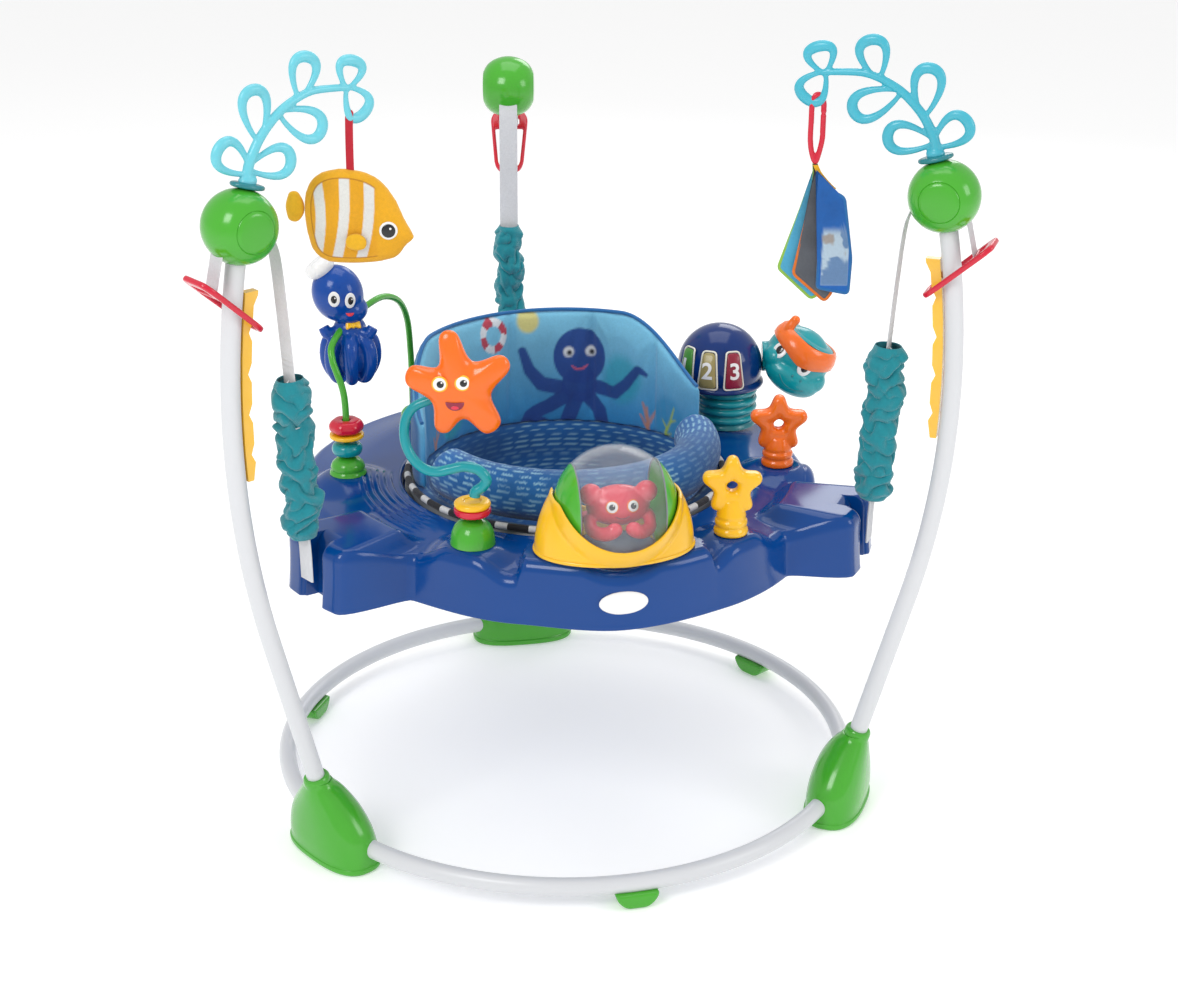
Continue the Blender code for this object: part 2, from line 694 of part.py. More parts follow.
# ---------------------------------------------------------------- toys on the tray
def make_dome():
    """A see-through shell, open at its two poles, that spins in a yellow cradle with a horn at each side."""
    pivot = new_empty("ball_pivot", ORIGIN, BALL_CENTRE)
    angles = [math.radians(BALL_POLE_ANGLE + (180.0 - 2 * BALL_POLE_ANGLE) * i / 7) for i in range(8)]
    skin = BALL_RADIUS - BALL_WALL
    outer = [(BALL_RADIUS * math.sin(angle), BALL_RADIUS * math.cos(angle)) for angle in angles]
    inner = [(skin * math.sin(angle), skin * math.cos(angle)) for angle in reversed(angles)]
    turned("dome_ball", outer + inner, CLEAR, pivot, steps=18, ring=True, rotation=(0, math.radians(90), 0))
    base = TRAY_TOP + PLATFORM_RISE + GAP
    cradle = ball(
        "dome_housing", (CRADLE_HALF_WIDTH, 0.0600, 0.1150), YELLOW, pivot, (0, 0.005, base - BALL_CENTRE.z),
        around=22, up=12,
    )
    socket = ball("ball_socket", (BALL_RADIUS + 0.0025,) * 3, None, pivot, around=20, up=12)
    below = block("cradle_floor", (0.3, 0.3, 0.2), None, pivot, (0, 0, base - BALL_CENTRE.z - 0.1))
    window = barrel("cradle_window", 0.0720, 0.0720, 0.3, None, pivot, (0, 0.15, 0.040), STANDING, around=24)
    above = block("cradle_top", (0.3, 0.3, 0.1), None, pivot, (0, 0, 0.0690))
    cut(cradle, below, window, above, socket)


def star_outline(reach, valley, points=5, turn=90.0):
    outline = []
    for i in range(points):
        peak = math.radians(turn + 360.0 * i / points)
        half = math.pi / points
        for angle, radius in (
            (peak - half * 0.22, reach), (peak + half * 0.22, reach), (peak + half, valley),
        ):
            outline.append((radius * math.cos(angle), radius * math.sin(angle)))
    return outline


def make_post_star(name, post, paint, height, reach):
    """A star on a short stem that turns on its mound."""
    pivot = new_empty(name + "_pivot", ORIGIN, post, (0, 0, math.radians(FACING)))
    star = as_mesh(
        plate(name, [star_outline(reach, reach * 0.62)], 0.020, paint, pivot, (0, 0, height), STANDING)
    )
    profile = [
        (0.0, height - 0.016), (0.009, height - 0.017), (0.010, 0.016), (0.0185, 0.011), (0.0195, GAP),
        (0.0, GAP),
    ]
    join(star, turned(name + "_stem", profile, None, pivot, steps=16))
    hole = barrel(name + "_hole", 0.0065, 0.0065, 0.1, None, pivot, (0, 0.05, height), STANDING, 12)
    cut(star, hole)


OCTOPUS_LOW = Vector((-0.2880, 0.0330, 0.5740))
OCTOPUS_HIGH = Vector((-0.2300, 0.1050, 0.6180))
ARCH_FAR = Vector((-0.1720, 0.2200, 0.410))


def make_bead_arch():
    """A green bar bent over from one mound to the tray behind the seat, with beads and an octopus."""
    straight_top = BEAD_POST + Vector((0, 0, 0.094))
    line = [
        BEAD_POST + Vector((0, 0, 0.010)), straight_top, Vector((-0.2745, 0.0215, 0.5260)),
        Vector((-0.2810, 0.0235, 0.5450)), Vector((-0.2866, 0.0275, 0.5610)), OCTOPUS_LOW, OCTOPUS_HIGH,
        Vector((-0.2090, 0.1330, 0.6210)), Vector((-0.1900, 0.1650, 0.6070)),
        Vector((-0.1780, 0.1920, 0.5700)), Vector((-0.1730, 0.2120, 0.5100)),
        Vector((ARCH_FAR.x, ARCH_FAR.y, 0.4600)), Vector((ARCH_FAR.x, ARCH_FAR.y, 0.4150)),
    ]
    bar = as_mesh(tube("arch_bar", line, 0.0042, GREEN, ORIGIN))
    near_foot = turned(
        "near_foot", [(0.0, 0.021), (0.016, 0.019), (0.022, 0.010), (0.0230, GAP), (0.0, GAP)], None, ORIGIN,
        steps=16, location=BEAD_POST,
    )
    far_foot = turned(
        "far_foot", [(0.0, 0.021), (0.012, 0.018), (0.0170, GAP), (0.0, GAP)], None, ORIGIN,
        steps=14, location=Vector((ARCH_FAR.x, ARCH_FAR.y, TRAY_TOP + GAP)),
    )
    join(bar, near_foot, far_foot)

    for name, low, high, radius, paint in (
        ("bead_teal", 0.0250, 0.0400, 0.0190, TEAL), ("bead_red", 0.0460, 0.0700, 0.0205, RED),
    ):
        middle = (low + high) / 2
        pivot = new_empty(name + "_pivot", ORIGIN, BEAD_POST + Vector((0, 0, middle)))
        half = (high - low) / 2
        profile = [(0.010, half), (radius * 0.86, half * 0.75), (radius, 0.0), (radius * 0.86, -half * 0.75),
                   (0.010, -half), (0.0056, -half), (0.0056, half)]
        turned(name, profile, paint, pivot, steps=16, ring=True)

    along = (OCTOPUS_HIGH - OCTOPUS_LOW).normalized()
    pivot = new_empty("octopus_pivot", ORIGIN, (OCTOPUS_LOW + OCTOPUS_HIGH) / 2)
    profile = [(0.0, 0.066), (0.016, 0.062), (0.029, 0.048), (0.033, 0.030), (0.027, 0.008), (0.020, -0.006),
               (0.026, -0.022), (0.037, -0.042), (0.038, -0.060), (0.026, -0.076), (0.0, -0.078)]
    octopus = turned("octopus", profile, BLUE, pivot, steps=16)
    aim = along.to_track_quat("Z", "Y").to_euler()
    bore = barrel("octopus_bore", 0.0062, 0.0062, 0.16, None, pivot, along * -0.08, aim, 12)
    cut(octopus, bore)


def make_stalk():
    """A curled teal arm on a domed base, with a starfish on its end."""
    base = [(0.0, 0.054), (0.0100, 0.054), (0.0200, 0.053), (0.0215, 0.050), (0.0200, 0.045), (0.0150, 0.040),
            (0.0220, 0.028), (0.0255, 0.012), (0.0260, GAP), (0.0, GAP)]
    turned("stalk_base", base, GREEN, ORIGIN, steps=18, location=STALK_POST)

    pivot = new_empty("stalk_pivot", ORIGIN, STALK_POST + Vector((0, 0, 0.058)), (0, 0, math.radians(FACING)))
    curl = [
        (0.003, 0.000), (0.004, 0.006), (0.012, 0.012), (0.0165, 0.021), (0.008, 0.032), (-0.008, 0.036),
        (-0.024, 0.033), (-0.040, 0.030), (-0.055, 0.034), (-0.068, 0.047), (-0.0755, 0.066),
        (-0.0750, 0.087), (-0.066, 0.103), (-0.049, 0.112), (-0.030, 0.119), (-0.014, 0.130),
    ]
    lean = 0.0105
    points = [(x, lean * min(1.0, max(0.0, z - 0.03) / 0.07), z) for x, z in curl]
    tube("stalk_arm", points, 0.0065, TEAL, pivot, corners=1)

    hub = new_empty("starfish_pivot", pivot, (-0.0110, -0.0120, 0.134))
    outline = star_outline(0.0600, 0.0330, turn=97.0)
    plate("starfish", [outline], 0.024, ORANGE, hub, rotation=STANDING)


def make_turtle():
    """A turtle with a round shell, a belly and a big head, and three keys on its shell."""
    pivot = new_empty("turtle_pivot", ORIGIN, TURTLE_CENTRE)
    shell = ball("turtle_body", (TURTLE_RADIUS,) * 3, BLUE, pivot, around=18, up=10)
    floor = TRAY_TOP + 3 * GAP - TURTLE_CENTRE.z
    belly = barrel("turtle_belly", 0.036, 0.040, 0.050, None, pivot, (0.008, -0.004, floor), around=14)
    neck = barrel(
        "turtle_neck", 0.024, 0.022, 0.060, None, pivot, (0.020, -0.004, 0.002),
        (0, math.radians(84), math.radians(FACING)), around=12,
    )
    join(shell, belly, neck)
    head_place = Vector((0.1000, -0.0200, 0.010))
    head = ball("turtle_head", (0.0430, 0.0400, 0.0470), TEAL, pivot, head_place, around=14, up=10)
    neck_room = barrel(
        "neck_room", 0.026, 0.026, 0.070, None, pivot, (0.020, -0.004, 0.002),
        (0, math.radians(84), math.radians(FACING)), around=14,
    )
    cut(head, neck_room)
    for number, azimuth in ((1, 205.0), (2, 240.0), (3, 275.0)):
        aim = polar(1.0, azimuth, 0.12).normalized()
        key_place = aim * (TURTLE_RADIUS + 0.0058)
        turn = aim.to_track_quat("Z", "Y").to_euler()
        key_pivot = new_empty("number_button_%d_pivot" % number, pivot, key_place, turn)
        block("number_button_%d" % number, (0.027, 0.040, 0.0038), RED, key_pivot)


# ---------------------------------------------------------------- hanging toys
STEM = (
    (0.4400, 0.8360), (0.4385, 0.8600), (0.4310, 0.8770), (0.4220, 0.8900), (0.4030, 0.9080),
    (0.3800, 0.9220), (0.3550, 0.9300), (0.3270, 0.9310), (0.3060, 0.9290),
)
LEAVES = (
    # foot of the leaf on the stem, and its tip, as (radius, height)
    ((0.4370, 0.8560), (0.4770, 0.8890)),
    ((0.4230, 0.8880), (0.4280, 0.9420)),
    ((0.3700, 0.9250), (0.3570, 0.9710)),
    ((0.3090, 0.9290), (0.2950, 0.9620)),
    ((0.4390, 0.8610), (0.3800, 0.8630)),
    ((0.3960, 0.9130), (0.3420, 0.8860)),
    ((0.3090, 0.9290), (0.2950, 0.8960)),
)

LEAF_WIDTH = 0.040


def leaf_outline(foot, tip, width, inset):
    """A teardrop from foot to tip: round at the tip, narrow at the foot."""
    foot, tip = Vector(foot), Vector(tip)
    along = (tip - foot).normalized()
    across = Vector((-along.y, along.x))
    length = (tip - foot).length
    outline = []
    count = 10
    for i in range(count):
        angle = math.tau * i / count
        reach = length / 2 * (1 - math.cos(angle))
        fullness = math.sin(angle) * (0.45 + 0.55 * reach / length)
        run = inset * 2.0 + reach * (1 - 3.2 * inset / length)
        spot = foot + along * run + across * (width / 2 - inset) * fullness
        outline.append((spot.x, spot.y))
    return outline


def make_seaweed(side, stand):
    """An arm like a sprig of seaweed, bent over towards the child, of seven open leaves."""
    stem = as_mesh(band("seaweed_" + side, STEM, 0.0085, 0.0065, AQUA, stand))
    for number, (foot, tip) in enumerate(LEAVES, 1):
        outlines = [leaf_outline(foot, tip, LEAF_WIDTH, inset) for inset in (0.0, 0.0050)]
        leaf = as_mesh(
            plate("leaf_%s_%d" % (side, number), outlines, 0.0060, None, stand, rotation=STANDING)
        )
        join(stem, leaf)


HANG_RADIUS, HANG_HEIGHT = 0.3030, 0.8990


def make_hanging_toys():
    """A fish on a ribbon under one arm, and a link with cloth cards under the other."""
    left = polar(HANG_RADIUS + 0.006, POSTS["left"], HANG_HEIGHT)
    fish_pivot = new_empty("fish_pivot", ORIGIN, left, (0, 0, math.radians(FACING)))
    outline = [
        (0.062, -0.008), (0.050, 0.014), (0.026, 0.038), (-0.004, 0.049), (-0.030, 0.042), (-0.044, 0.022),
        (-0.060, 0.032), (-0.068, 0.012), (-0.060, -0.006), (-0.050, 0.004), (-0.040, -0.034),
        (-0.012, -0.049), (0.022, -0.044), (0.048, -0.030),
    ]
    centre = (0.0, -0.112)
    body = [(x + centre[0], y + centre[1]) for x, y in outline]
    fish = as_mesh(plate("fish", [body], 0.030, YELLOW, fish_pivot, rotation=STANDING))
    ribbon = block("fish_ribbon", (0.009, 0.0020, 0.056), None, fish_pivot, (0, 0, -0.0395))
    join(fish, ribbon)

    right = polar(HANG_RADIUS, POSTS["right"], HANG_HEIGHT)
    link_pivot = new_empty("link_pivot", ORIGIN, right, (0, 0, math.radians(POSTS["right"] + 90)))
    half_width, top, bottom = 0.0105, 0.0045, -0.0730
    loop = [(0.004, top), (half_width, top - 0.008), (half_width, -0.034), (half_width, bottom + 0.008),
            (0.004, bottom)]
    loop += [(-x, z) for x, z in reversed(loop)]
    tube("toy_link", [(x, 0.0, z) for x, z in loop], 0.0026, RED, link_pivot, closed=True, corners=1)
    cards_place = right + Vector((0, 0, bottom - 0.0055))
    cards_pivot = new_empty("cards_pivot", ORIGIN, cards_place, (0, 0, math.radians(FACING)))
    pack = [
        (-0.010, -0.004), (0.010, -0.002), (0.036, -0.020), (0.046, -0.120), (0.014, -0.150),
        (-0.030, -0.128), (-0.030, -0.090),
    ]
    plate("card_pack", [pack], 0.016, BOARD, cards_pivot, rotation=STANDING)


# ---------------------------------------------------------------- the whole object
make_floor_frame()
POST_STANDS = {side: make_post(side) for side in POSTS}
make_tray(POST_STANDS)
make_seat()
make_dome()
make_post_star("yellow_star", YELLOW_STAR_POST, YELLOW, 0.0600, 0.0340)
make_post_star("orange_star", ORANGE_STAR_POST, ORANGE, 0.0550, 0.0350)
make_bead_arch()
make_stalk()
make_turtle()
for arm_side in ("left", "right"):
    make_seaweed(arm_side, POST_STANDS[arm_side])
make_hanging_toys()
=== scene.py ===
"""Looks of a free-standing baby activity jumper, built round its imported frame.

Everything is in metres. Shapes are made from the ring's centre on the floor, and HOME moves
them to where the frame has that point. Bodies, joints and boxes come from the frame.
"""

import json
import math

import bmesh
import bpy
import numpy as np
from mathutils import Matrix, Vector, noise
from mathutils.bvhtree import BVHTree


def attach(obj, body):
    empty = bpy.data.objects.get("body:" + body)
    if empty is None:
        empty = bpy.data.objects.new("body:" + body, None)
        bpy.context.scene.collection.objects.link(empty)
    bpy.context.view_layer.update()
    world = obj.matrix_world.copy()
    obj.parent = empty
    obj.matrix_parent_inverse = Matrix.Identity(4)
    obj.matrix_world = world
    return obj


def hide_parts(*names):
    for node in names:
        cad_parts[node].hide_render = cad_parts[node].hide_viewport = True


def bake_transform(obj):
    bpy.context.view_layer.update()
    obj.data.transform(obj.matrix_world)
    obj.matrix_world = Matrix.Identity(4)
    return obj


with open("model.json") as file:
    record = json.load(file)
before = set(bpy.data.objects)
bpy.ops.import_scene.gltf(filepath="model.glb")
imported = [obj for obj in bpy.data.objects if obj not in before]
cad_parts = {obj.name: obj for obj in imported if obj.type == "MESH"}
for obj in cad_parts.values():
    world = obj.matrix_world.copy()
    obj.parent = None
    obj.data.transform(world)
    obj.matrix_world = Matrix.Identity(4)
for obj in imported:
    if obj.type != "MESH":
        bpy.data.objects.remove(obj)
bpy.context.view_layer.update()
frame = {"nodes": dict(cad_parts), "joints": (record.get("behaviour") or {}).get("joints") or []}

SCENE = bpy.context.scene
JOINTS = {joint["name"]: joint for joint in frame["joints"]}
CENTRE = Vector(JOINTS["seat_swivel"]["pos_m"])
HOME = Matrix.Translation((CENTRE.x, CENTRE.y, 0.0))
STANDING = Matrix.Rotation(math.radians(90), 4, "X")        # a flat outline's Y becomes height
POSTS = {"left": 210.0, "right": 330.0, "rear": 90.0}
HEAD_TURNS = {"left": 0.0, "right": 0.0, "rear": -9.5}         # how far each top unit is turned from its post
HEAD_RADIUS = 0.456

TUBE_RADIUS = 0.011
RING_RADIUS = 0.365
RING_HEIGHT = 0.0275
POD_HEIGHT = 0.800
SEAT_TURN = 12.0
FACING = Matrix.Rotation(math.radians(-10.7), 4, "Z")       # the upright toys face the front, turned a little
TRAY_TOP = 0.405


def joint_place(name):
    """A joint's point, from the ring's centre."""
    return HOME.inverted() @ Vector(JOINTS[name]["pos_m"])


def polar(radius, azimuth, height):
    angle = math.radians(azimuth)
    return Vector((radius * math.cos(angle), radius * math.sin(angle), height))


def turned_to(azimuth):
    return Matrix.Rotation(math.radians(azimuth), 4, "Z")


def at(point):
    return Matrix.Translation(Vector(point))


def head_place(side):
    """The frame of a post's top unit, with its strap and spring below: X runs outward, through the pod."""
    azimuth = POSTS[side] + HEAD_TURNS[side]
    return at(polar(HEAD_RADIUS, POSTS[side], 0) - polar(HEAD_RADIUS, azimuth, 0)) @ turned_to(azimuth)


def smooth_step(share):
    share = np.clip(share, 0.0, 1.0)
    return share * share * (3 - 2 * share)


def bump(distance, flat, reach):
    """1 within flat, falling smoothly to 0 at reach."""
    return smooth_step((reach - distance) / (reach - flat))


def turn_between(first, second):
    return np.abs((first - second + 180.0) % 360.0 - 180.0)


# ---------------------------------------------------------------- camera, light and floor
def make_stage():
    lens_width = 36.0
    focal_pixels, image_width = 2147.34, 1178.0
    data = bpy.data.cameras.new("camera")
    data.sensor_width = lens_width
    data.lens = focal_pixels / image_width * lens_width
    camera = bpy.data.objects.new("camera", data)
    right, up = Vector((0.98288, -0.18416, 0.00503)), Vector((0.06535, 0.37406, 0.92510))
    back = right.cross(up).normalized()
    turn = Matrix((right, up, back)).transposed().to_4x4()
    camera.matrix_world = HOME @ at((-0.43910, -2.47598, 1.40247)) @ turn
    SCENE.collection.objects.link(camera)
    SCENE.camera = camera

    floor_material = bpy.data.materials.new("pale_floor")
    floor_material.use_nodes = True
    nodes, links = floor_material.node_tree.nodes, floor_material.node_tree.links
    shader = nodes["Principled BSDF"]
    grain = nodes.new("ShaderNodeTexNoise")
    grain.inputs["Scale"].default_value = 3.0
    tone = nodes.new("ShaderNodeMapRange")
    tone.inputs["To Min"].default_value = 0.86
    tone.inputs["To Max"].default_value = 0.88
    links.new(grain.outputs["Fac"], tone.inputs["Value"])
    links.new(tone.outputs["Result"], shader.inputs["Base Color"])
    shader.inputs["Roughness"].default_value = 0.9
    shader.inputs["Emission Color"].default_value = (1.0, 1.0, 1.0, 1.0)
    shader.inputs["Emission Strength"].default_value = 0.28
    mesh = bpy.data.meshes.new("floor")
    reach = 30.0
    mesh.from_pydata([(-reach, -reach, 0), (reach, -reach, 0), (reach, reach, 0), (-reach, reach, 0)], [],
                     [(0, 1, 2, 3)])
    mesh.materials.append(floor_material)
    floor = bpy.data.objects.new("floor", mesh)
    floor.location.z = -0.0005
    SCENE.collection.objects.link(floor)

    world = bpy.data.worlds.new("studio")
    world.use_nodes = True
    world.node_tree.nodes["Background"].inputs["Color"].default_value = (1.0, 1.0, 1.0, 1.0)
    world.node_tree.nodes["Background"].inputs["Strength"].default_value = 0.72
    SCENE.world = world
    lamps = (
        ("key", (-2.2, -2.4, 2.9), 1.5, 52.0),
        ("fill", (2.6, -1.8, 1.8), 1.2, 18.0),
        ("top", (0.2, 0.6, 3.2), 2.0, 22.0),
        ("rim", (1.4, 2.6, 2.0), 1.2, 12.0),
    )
    for name, place, size, power in lamps:
        data = bpy.data.lights.new(name, "AREA")
        data.size = size
        data.energy = power
        lamp = bpy.data.objects.new(name, data)
        lamp.location = place
        lamp.rotation_euler = (Vector((0, -0.05, 0.45)) - lamp.location).to_track_quat("-Z", "Y").to_euler()
        SCENE.collection.objects.link(lamp)
    SCENE.view_settings.view_transform = "Standard"


# ---------------------------------------------------------------- materials
class Finish:
    """A material with a Principled shader, and short ways to build its nodes."""

    def __init__(self, name, colour, roughness, metallic=0.0):
        self.material = bpy.data.materials.new(name)
        self.material.use_nodes = True
        self.nodes = self.material.node_tree.nodes
        self.links = self.material.node_tree.links
        self.shader = self.nodes["Principled BSDF"]
        self.shader.inputs["Base Color"].default_value = (*colour, 1.0)
        self.shader.inputs["Roughness"].default_value = roughness
        self.shader.inputs["Metallic"].default_value = metallic
        self.place = self.nodes.new("ShaderNodeTexCoord").outputs["Object"]
        self.normal = None

    def add(self, kind, **inputs):
        node = self.nodes.new("ShaderNode" + kind)
        for name, value in inputs.items():
            socket = node.inputs[name.replace("_", " ")]
            if isinstance(value, bpy.types.NodeSocket):
                self.links.new(value, socket)
            else:
                socket.default_value = value
        return node

    def noise(self, scale, detail=2.0, place=None):
        return self.add("TexNoise", Vector=place or self.place, Scale=scale, Detail=detail).outputs["Fac"]

    def ranged(self, value, low, high, start=0.0, end=1.0):
        node = self.add("MapRange", Value=value)
        node.inputs["From Min"].default_value = start
        node.inputs["From Max"].default_value = end
        node.inputs["To Min"].default_value = low
        node.inputs["To Max"].default_value = high
        return node.outputs["Result"]

    def sums(self, kind, first, second):
        node = self.nodes.new("ShaderNodeMath")
        node.operation = kind
        for socket, value in zip(node.inputs, (first, second)):
            if isinstance(value, bpy.types.NodeSocket):
                self.links.new(value, socket)
            else:
                socket.default_value = value
        return node.outputs["Value"]

    def mixed(self, share, first, second, blend="MIX"):
        node = self.nodes.new("ShaderNodeMix")
        node.data_type = "RGBA"
        node.blend_type = blend
        pairs = ((node.inputs[0], share), (node.inputs[6], first), (node.inputs[7], second))
        for socket, value in pairs:
            if isinstance(value, bpy.types.NodeSocket):
                self.links.new(value, socket)
            elif isinstance(value, tuple):
                socket.default_value = (*value, 1.0)
            else:
                socket.default_value = value
        return node.outputs[2]

    def colour(self, value):
        self.links.new(value, self.shader.inputs["Base Color"])

    def rough(self, value):
        self.links.new(value, self.shader.inputs["Roughness"])

    def relief(self, height, depth, strength=1.0):
        """Adds one layer of bump, depth in metres."""
        node = self.add("Bump", Height=height, Strength=strength, Distance=depth)
        if self.normal is not None:
            self.links.new(self.normal, node.inputs["Normal"])
        self.normal = node.outputs["Normal"]
        self.links.new(self.normal, self.shader.inputs["Normal"])


def scaled(colour, share):
    return tuple(min(1.0, part * share) for part in colour)


def plastic(name, colour, roughness=0.16, wear=0.35, glow=0.0):
    """Moulded plastic: slight colour drift, uneven gloss, paler rubbed edges and a fine mould texture."""
    made = Finish(name, colour, roughness)
    drift = made.mixed(made.noise(9.0, 3.0), scaled(colour, 0.90), scaled(colour, 1.10))
    edge = made.add("NewGeometry").outputs["Pointiness"]
    rubbed = made.sums("MULTIPLY", made.ranged(edge, 0.0, 1.0, 0.53, 0.62),
                       made.ranged(made.noise(60.0), 0.2, 1.0))
    pale = tuple(part + (1.0 - part) * 0.22 for part in colour)
    made.colour(made.mixed(made.sums("MULTIPLY", rubbed, wear), drift, pale))
    made.rough(made.ranged(made.noise(45.0, 4.0), roughness * 0.7, roughness * 1.5))
    made.relief(made.noise(14.0, 1.0), 0.0006, 0.35)
    made.relief(made.noise(900.0, 2.0), 0.00004, 0.5)
    made.shader.inputs["Coat Weight"].default_value = 0.12
    made.shader.inputs["Coat Roughness"].default_value = 0.08
    if glow:
        made.shader.inputs["Subsurface Weight"].default_value = glow
        made.shader.inputs["Subsurface Scale"].default_value = 0.01
        made.shader.inputs["Subsurface Radius"].default_value = colour
    return made.material


def tube_paint():
    """White powder coat on steel tube: orange peel, a few faint scuffs."""
    colour = (0.66, 0.67, 0.69)
    made = Finish("white_tube_paint", colour, 0.28)
    scuff = made.ranged(made.noise(38.0, 6.0), 0.0, 1.0, 0.62, 0.72)
    made.colour(made.mixed(made.sums("MULTIPLY", scuff, 0.05), colour, (0.60, 0.61, 0.63)))
    made.rough(made.ranged(made.noise(30.0, 2.0), 0.27, 0.33))
    made.relief(made.noise(900.0, 1.0), 0.000006, 0.2)
    return made.material


def spring_steel():
    made = Finish("drawn_wire", (0.62, 0.62, 0.64), 0.3, 1.0)
    made.rough(made.ranged(made.noise(300.0, 3.0), 0.22, 0.42))
    made.relief(made.noise(700.0, 2.0), 0.00005, 0.5)
    return made.material


def cloth(name, colour, pitch=0.0011, depth=0.0003, crease=0.0012, twill=False, painted=False, sheen=0.25):
    """Woven cloth: crossed threads with painted shade in their dips, fibre colour drift and soft creases.
    painted reads the print.
    """
    made = Finish(name, colour, 0.85)
    laid = made.add("Attribute")
    laid.attribute_name = "laid"
    place = laid.outputs["Vector"]
    split = made.add("SeparateXYZ", Vector=place)
    along, across = split.outputs["X"], split.outputs["Y"]
    if twill:
        across = made.sums("ADD", across, made.sums("MULTIPLY", along, 0.5))
    turns = math.tau / pitch
    warp = made.sums("SINE", made.sums("MULTIPLY", along, turns), 0.0)
    weft = made.sums("SINE", made.sums("MULTIPLY", across, turns), 0.0)
    thread = made.ranged(made.sums("MULTIPLY", warp, weft), 0.0, 1.0, -1.0, 1.0)
    base = colour
    if painted:
        print_node = made.add("Attribute")
        print_node.attribute_name = "print"
        base = print_node.outputs["Color"]
    # painted shade: the weave's dips are darkened by up to a fifth, standing for shade between the threads
    shade = made.ranged(thread, 0.80, 1.0)
    fibre = made.ranged(made.noise(350.0, 3.0), 0.88, 1.10)
    fade = made.ranged(made.noise(16.0, 3.0), 0.90, 1.08)
    tone = made.sums("MULTIPLY", made.sums("MULTIPLY", shade, fibre), fade)
    grey = made.add("CombineColor", Red=tone, Green=tone, Blue=tone).outputs["Color"]
    made.colour(made.mixed(1.0, base, grey, "MULTIPLY"))
    made.rough(made.ranged(made.noise(120.0), 0.74, 0.95))
    made.relief(made.noise(34.0, 3.0), crease, 0.5)
    made.relief(thread, depth, 0.7)
    made.shader.inputs["Sheen Weight"].default_value = sheen
    made.shader.inputs["Sheen Roughness"].default_value = 0.45
    return made.material


def clear_plastic():
    """A clear moulded shell: nearly invisible face on, grey and glossy at its edges."""
    made = Finish("clear_plastic", (0.80, 0.86, 0.90), 0.04)
    facing = made.add("LayerWeight", Blend=0.35).outputs["Facing"]
    made.links.new(made.ranged(facing, 0.07, 0.42, 0.30, 1.0), made.shader.inputs["Alpha"])
    made.rough(made.ranged(made.noise(30.0, 3.0), 0.03, 0.09))
    made.relief(made.noise(22.0, 2.0), 0.0004, 0.3)
    made.shader.inputs["Coat Weight"].default_value = 0.6
    return made.material


GREEN = plastic("green_plastic", (0.060, 0.390, 0.022), 0.17)
BLUE = plastic("deep_blue_plastic", (0.0, 0.050, 0.240), 0.13)
NAVY = plastic("navy_plastic", (0.002, 0.026, 0.150), 0.14)
OCTOPUS_BLUE = plastic("royal_blue_plastic", (0.002, 0.060, 0.330), 0.15)
for dark_finish in (BLUE, NAVY, OCTOPUS_BLUE):
    dark_finish.node_tree.nodes["Principled BSDF"].inputs["Specular IOR Level"].default_value = 0.32
YELLOW = plastic("yellow_plastic", (0.900, 0.500, 0.010), 0.18, glow=0.05)
RED = plastic("red_plastic", (0.620, 0.008, 0.035), 0.18)
ORANGE = plastic("orange_plastic", (0.880, 0.150, 0.004), 0.18, glow=0.05)
TEAL = plastic("teal_plastic", (0.002, 0.300, 0.340), 0.18)
DARK_TEAL = plastic("dark_teal_plastic", (0.008, 0.200, 0.230), 0.22)
LIGHT_AQUA = plastic("light_aqua_plastic", (0.150, 0.580, 0.680), 0.28, glow=0.10)
DEEP_AQUA = plastic("deep_aqua_plastic", (0.055, 0.440, 0.560), 0.28, glow=0.10)
GREY = plastic("grey_plastic", (0.200, 0.215, 0.235), 0.32)
WHITE = plastic("white_plastic", (0.820, 0.820, 0.820), 0.22)
BLACK = plastic("black_plastic", (0.010, 0.010, 0.012), 0.15)
PINK_RED = plastic("pink_red_plastic", (0.750, 0.030, 0.070), 0.25, glow=0.05)
OLIVE = plastic("tan_plastic", (0.330, 0.270, 0.100), 0.25)
MAROON = plastic("maroon_plastic", (0.260, 0.010, 0.035), 0.25)
LEAF_GREEN = plastic("leaf_green_plastic", (0.060, 0.260, 0.035), 0.25)
CREAM = plastic("cream_plastic", (0.760, 0.740, 0.640), 0.25)
TUBE = tube_paint()
STEEL = spring_steel()
CLEAR = clear_plastic()
WEBBING = cloth("white_webbing", (0.72, 0.73, 0.76), 0.0016, 0.0004, 0.0004, twill=True)
SLEEVE_CLOTH = cloth("teal_cloth", (0.003, 0.270, 0.330), 0.0008, 0.0002, 0.0006, sheen=0.4)
PRINTED_CLOTH = cloth("printed_cloth", (0.3, 0.6, 0.8), 0.0010, 0.00025, 0.0014, painted=True)
NAVY_CLOTH = cloth("navy_cloth", (0.008, 0.045, 0.160), 0.0010, 0.00025, 0.0012)
BLUE_CLOTH = cloth("blue_cloth", (0.020, 0.170, 0.460), 0.0010, 0.00025, 0.0014)
BLACK_CLOTH = cloth("black_binding", (0.012, 0.012, 0.016), 0.0009, 0.0002, 0.0004)
WHITE_CLOTH = cloth("white_binding", (0.780, 0.780, 0.780), 0.0009, 0.0002, 0.0004)
RED_RIBBON = cloth("red_ribbon", (0.560, 0.010, 0.030), 0.0008, 0.0002, 0.0003)
YELLOW_CLOTH = cloth("yellow_cloth", (0.900, 0.480, 0.010), 0.0009, 0.0002, 0.0006)
GREEN_CLOTH = cloth("lime_binding", (0.330, 0.620, 0.080), 0.0009, 0.0002, 0.0004)
ORANGE_CLOTH = cloth("orange_binding", (0.850, 0.200, 0.020), 0.0009, 0.0002, 0.0004)


